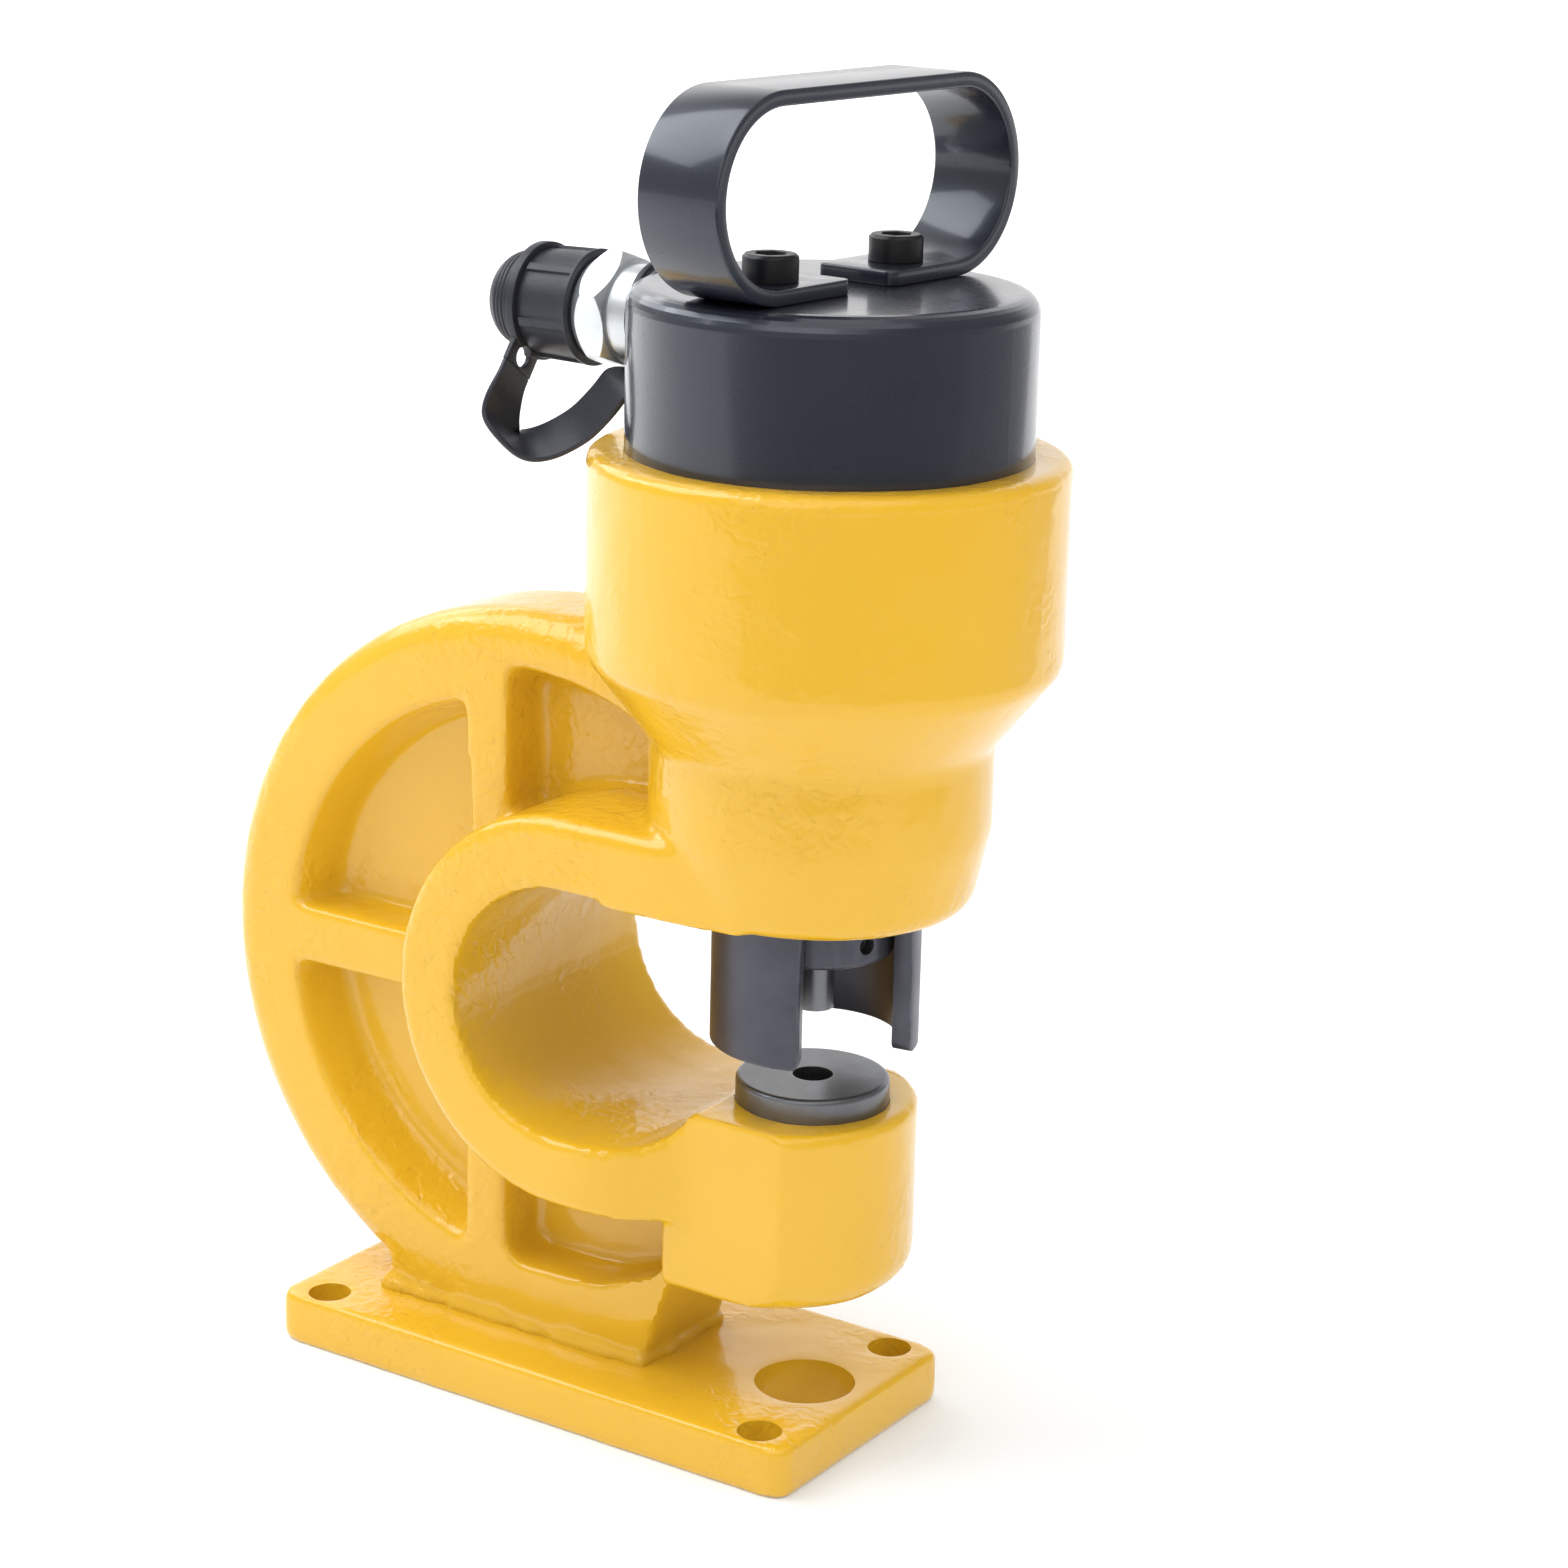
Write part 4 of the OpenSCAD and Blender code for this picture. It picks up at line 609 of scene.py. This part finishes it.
def buildCapStrap():
    # one row per step from the cap's eye to the collar's loop: place (mm), direction across, width (mm)
    look = {'thick': 1.9, 'round': 0.55, 'steps': 6, 'smoothAngle': 40,
            'loopPlace': (0, 0.3215), 'loopOuter': (0.0154, -0.0582, -0.0562),
            'loopInner': (0.0138, -0.07, -0.05), 'loopEdge': (0.0004, 2, 35), 'rows': [
        (-97.0, -13.2, 303.5, 0, -0.806, 0.592, 12.8), (-96.9, -15.5, 300.5, 0, -0.806, 0.592, 12.8),
        (-97.2, -17.9, 296.6, -0.2, -0.86, 0.47, 12.8), (-97.6, -19.2, 292.8, -0.33, -0.85, 0.42, 12.8),
        (-97.3, -19.9, 289.3, -0.38, -0.86, 0.34, 12.8), (-96.0, -19.2, 286.4, 0.1, -0.97, 0.2, 12.8),
        (-94.4, -17.4, 284.3, 0.42, -0.88, -0.2, 12.8), (-92.5, -16.7, 283.3, 0.53, -0.73, -0.43, 12.8),
        (-90.0, -15.7, 283.1, 0.57, -0.61, -0.56, 12.8), (-87.0, -14.0, 283.8, 0.63, -0.49, -0.6, 12.8),
        (-83.5, -13.0, 285.3, 0.67, -0.42, -0.61, 12.8), (-79.5, -11.4, 287.8, 0.72, -0.37, -0.59, 12.8),
        (-75.5, -10.4, 290.6, 0.75, -0.34, -0.57, 12.8), (-71.5, -9.7, 294.8, 0.75, -0.34, -0.57, 12.8),
        (-68.0, -9.0, 298.8, 0.77, -0.33, -0.54, 12.8), (-65.7, -8.3, 302.6, 0.8, -0.32, -0.5, 12.8),
        (-63.1, -7.0, 303.8, 0.84, -0.3, -0.45, 12.2), (-60.4, -4.0, 304.8, 0.92, -0.2, -0.3, 9.0),
        (-58.1, -0.3, 305.8, 0.98, -0.1, -0.12, 3.6), (-57.2, 3.2, 307.3, 1, 0, 0, 1.9),
        (-57.2, 6.0, 308.2, 1, 0, 0, 1.9)]}
    rows = curveRows(look['rows'], look['steps'])
    places = [Vector(row[:3]) for row in rows]
    bm = bmesh.new()
    rings = []
    for i, row in enumerate(rows):
        along = (places[min(i + 1, len(rows) - 1)] - places[max(i - 1, 0)]).normalized()
        side = Vector(row[3:6]).normalized()
        flat = along.cross(side).normalized()
        side = (side - along * side.dot(along)).normalized() if i in (0, len(rows) - 1) else side
        half = row[6] / 2
        thick = look['thick'] / 2
        inner = half - look['round']
        edge = thick - look['round']
        outline = [(-half, -edge), (-inner, -thick), (-half / 2, -thick), (0, -thick), (half / 2, -thick),
                   (inner, -thick), (half, -edge), (half, edge), (inner, thick), (half / 2, thick),
                   (0, thick), (-half / 2, thick), (-inner, thick), (-half, edge)]
        rings.append([bm.verts.new((places[i] + side * x + flat * y) * mm) for x, y in outline])
    for a, b in zip(rings, rings[1:]):
        for k in range(len(a)):
            bm.faces.new((a[k], a[(k + 1) % len(a)], b[(k + 1) % len(a)], b[k]))
    bm.faces.new(rings[0][::-1])
    bm.faces.new(rings[-1])
    bmesh.ops.recalc_face_normals(bm, faces=bm.faces[:])
    mesh = bpy.data.meshes.new('capStrap')
    bm.to_mesh(mesh)
    bm.free()
    strap = bpy.data.objects.new('capStrap', mesh)
    bpy.context.scene.collection.objects.link(strap)
    loop = addCylinder('strapLoop', *look['loopOuter'], look['loopPlace'], 'X')
    cutAway(loop, addCylinder('loopHole', *look['loopInner'], look['loopPlace'], 'X'))
    bevelEdges(loop, *look['loopEdge'])
    joinAll(strap, [loop])
    tidyMesh(strap)
    smoothByAngle(strap, look['smoothAngle'])
    finishPiece(strap, 'cap_tether', None, 'black_plastic')
    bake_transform(strap)


def buildSpring(nodeName, pieceName):
    # in the real tool one end stays on its seat in the frame and the other goes with the body that presses
    # it; here the spring is a smoothed copy that belongs to no body
    smoothAngle = 60
    spring = copyOfNode(nodeName, pieceName)
    smoothByAngle(spring, smoothAngle)
    finishPiece(spring, nodeName, None, 'spring_steel')
    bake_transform(spring)


buildCasting()
buildBasePlate()
softenedCopy('handle', 'carryHandle', 'frame', 'black_paint', width=0.0009)
softenedCopy('handle_screws', 'handleScrews', 'frame', 'black_oxide', width=0.0005)
softenedCopy('stripper', 'stripperTube', 'frame', 'slate_steel', width=0.0006)
softenedCopy('punch_nut', 'punchNut', 'ram', 'slate_steel', width=0.0004)
softenedCopy('punch', 'punchTool', 'ram', 'tool_steel', width=0.0002)
softenedCopy('cap_eye', 'capEye', 'dust_cap', 'black_plastic', width=0.0003)
softenedCopy('dust_cap', 'dustCap', 'dust_cap', 'black_plastic', width=0.0002)
softenedCopy('coupler_body', 'couplerBody', 'frame', 'bright_zinc', width=0.0004)
buildCapStrap()
buildSpring('return_spring', 'returnSpring')
buildSpring('valve_spring', 'valveSpring')


def buildStage():
    # each side of the studio holds its direction, and its light from the middle outwards
    look = {'floorSize': 30.0, 'floorColour': (0.9, 0.9, 0.9, 1), 'glowReach': 0.25,
            'glow': [(0.12, 0.11), (0.5, 0.45)], 'backdrop': (1, 1, 1, 1),
            'right': ((0.9, 0.44, 0), [(0.25, 0.46), (0.65, 0.28)]),
            'backWall': ((-0.5, 0.86, 0), [(0.62, 0.0), (0.86, 0.7)])}
    deselectAll()
    bpy.ops.mesh.primitive_plane_add(size=look['floorSize'], location=(0, 0, 0))
    floor = bpy.context.object
    floor.name = 'studioFloor'
    mat, tree, shader = newMaterial('paleFloor', Roughness=0.75, Base_Color=look['floorColour'],
                                    Emission_Strength=1)
    # painted light: the floor glows, faintly near the object and more brightly from about half a metre out to
    # two metres, so that the sweep behind the table is lit by itself
    coords = addNode(tree, 'ShaderNodeTexCoord').outputs['Object']
    reach = addNode(tree, 'ShaderNodeVectorMath', operation='LENGTH')
    tree.links.new(coords, reach.inputs[0])
    glow = ramp(tree, maths(tree, 'MULTIPLY', reach.outputs['Value'], look['glowReach']), look['glow'])
    tree.links.new(glow, shader.inputs['Emission Color'])
    floor.data.materials.append(mat)
    world = bpy.data.worlds.new('studioWorld')
    bpy.context.scene.world = world
    world.use_nodes = True
    tree = world.node_tree
    studio = tree.nodes['Background']
    # the studio is dimmer towards the right, and has a paler wall at the back
    coords = addNode(tree, 'ShaderNodeTexCoord').outputs['Generated']
    shares = []
    for direction, stops in (look['right'], look['backWall']):
        side = addNode(tree, 'ShaderNodeVectorMath', operation='DOT_PRODUCT')
        tree.links.new(coords, side.inputs[0])
        side.inputs[1].default_value = direction
        shares.append(ramp(tree, side.outputs['Value'], stops))
    tree.links.new(maths(tree, 'ADD', *shares), studio.inputs['Color'])
    studio.inputs['Strength'].default_value = 1
    backdrop = addNode(tree, 'ShaderNodeBackground', Color=look['backdrop'], Strength=1.0)
    path = addNode(tree, 'ShaderNodeLightPath')
    mix = addNode(tree, 'ShaderNodeMixShader')
    tree.links.new(path.outputs['Is Camera Ray'], mix.inputs[0])
    tree.links.new(studio.outputs[0], mix.inputs[1])
    tree.links.new(backdrop.outputs[0], mix.inputs[2])
    tree.links.new(mix.outputs[0], tree.nodes['World Output'].inputs['Surface'])
    bpy.context.scene.view_settings.view_transform = 'Standard'


def addAreaLight(name, place, target, size, power, colour=(1, 1, 1), inGloss=True):
    deselectAll()
    bpy.ops.object.light_add(type='AREA', location=place)
    lamp = bpy.context.object
    lamp.name = name
    lamp.data.shape = 'RECTANGLE'
    lamp.data.size, lamp.data.size_y = size
    lamp.data.energy = power
    lamp.data.color = colour
    lamp.rotation_euler = (Vector(target) - Vector(place)).to_track_quat('-Z', 'Y').to_euler()
    lamp.visible_camera = False
    lamp.visible_glossy = inGloss


def addCard(name, azimuth, height, colour):
    # a dark card on the table, seen only in the gloss
    look = {'away': 1.9, 'size': (4, 2.4), 'rough': 0.9}
    deselectAll()
    bpy.ops.mesh.primitive_plane_add(size=1, location=(0, 0, 0))
    card = bpy.context.object
    card.name = name
    turn = math.radians(azimuth)
    place = (look['away'] * math.sin(turn), -look['away'] * math.cos(turn), height)
    card.data.transform(Matrix.Translation(place) @ Matrix.Rotation(turn, 4, 'Z')
                        @ Matrix.Diagonal((*look['size'], 1, 1)))
    card.data.materials.append(newMaterial(name, Roughness=look['rough'], Base_Color=colour)[0])
    card.visible_camera = False
    card.visible_diffuse = False
    card.visible_shadow = False


def buildLights():
    centre = (-0.03, 0, 0.2)
    cool = (0.93, 0.96, 1)
    sky = {'place': (0.5, -1.5, 3), 'power': 0.89, 'spread': 75, 'turn': (22, 8)}
    addAreaLight('softboxOver', (-0.67, -0.33, 1.15), centre, size=(0.9, 0.9), power=8, colour=cool)
    addAreaLight('softboxBack', (-4.9, 6.3, 2.5), (0, 0, 0.3), size=(8.0, 5.0), power=210, colour=cool,
                 inGloss=False)
    addAreaLight('softboxFront', (0.25, -1.5, 1.1), centre, size=(1.3, 0.8), power=2.7)
    addAreaLight('softboxRight', (1.25, 0.35, 1.0), centre, size=(0.8, 0.9), power=5.4, inGloss=False)
    addAreaLight('tableLeft', (-1.9, 0.35, 1.1), (-1.9, 0.35, 0), size=(1.5, 1.5), power=14, colour=cool)
    deselectAll()
    bpy.ops.object.light_add(type='SUN', location=sky['place'])
    sun = bpy.context.object
    sun.name = 'evenSky'
    sun.data.energy = sky['power']
    sun.data.angle = math.radians(sky['spread'])
    sun.rotation_euler = (math.radians(sky['turn'][0]), math.radians(sky['turn'][1]), 0)
    addCard('cardFront', azimuth=43, height=0.004, colour=(0.2, 0.2, 0.22, 1))
    addCard('cardRight', azimuth=104, height=0.003, colour=(0.36, 0.36, 0.38, 1))


def buildCamera():
    # found by fitting circles, edges and holes of the object in the photograph
    view = {'azimuth': 33.38989, 'elevation': 16.18574, 'roll': 1.3618, 'distance': 1.01118,
            'targetHeight': 0.196504, 'targetAside': -0.010154, 'focal': 3638.393, 'frame': 1568,
            'sensor': 36, 'clipStart': 0.05}
    az, el, roll = (math.radians(view[key]) for key in ('azimuth', 'elevation', 'roll'))
    back = Vector((math.sin(az) * math.cos(el), -math.cos(az) * math.cos(el), math.sin(el)))
    right = Vector((math.cos(az), math.sin(az), 0))
    up = back.cross(right)
    turnedRight = right * math.cos(roll) + up * math.sin(roll)
    turnedUp = up * math.cos(roll) - right * math.sin(roll)
    aside = view['targetAside']
    target = Vector((aside * math.cos(az), aside * math.sin(az), view['targetHeight']))
    place = target + back * view['distance']
    deselectAll()
    bpy.ops.object.camera_add(location=place)
    camera = bpy.context.object
    camera.name = 'photoCamera'
    camera.matrix_world = Matrix((
        (turnedRight.x, turnedUp.x, back.x, place.x), (turnedRight.y, turnedUp.y, back.y, place.y),
        (turnedRight.z, turnedUp.z, back.z, place.z), (0, 0, 0, 1)))
    camera.data.sensor_fit = 'HORIZONTAL'
    camera.data.sensor_width = view['sensor']
    camera.data.lens = view['focal'] / view['frame'] * view['sensor']
    camera.data.clip_start = view['clipStart']
    bpy.context.scene.camera = camera


buildStage()
buildLights()
buildCamera()
print('studio ready')
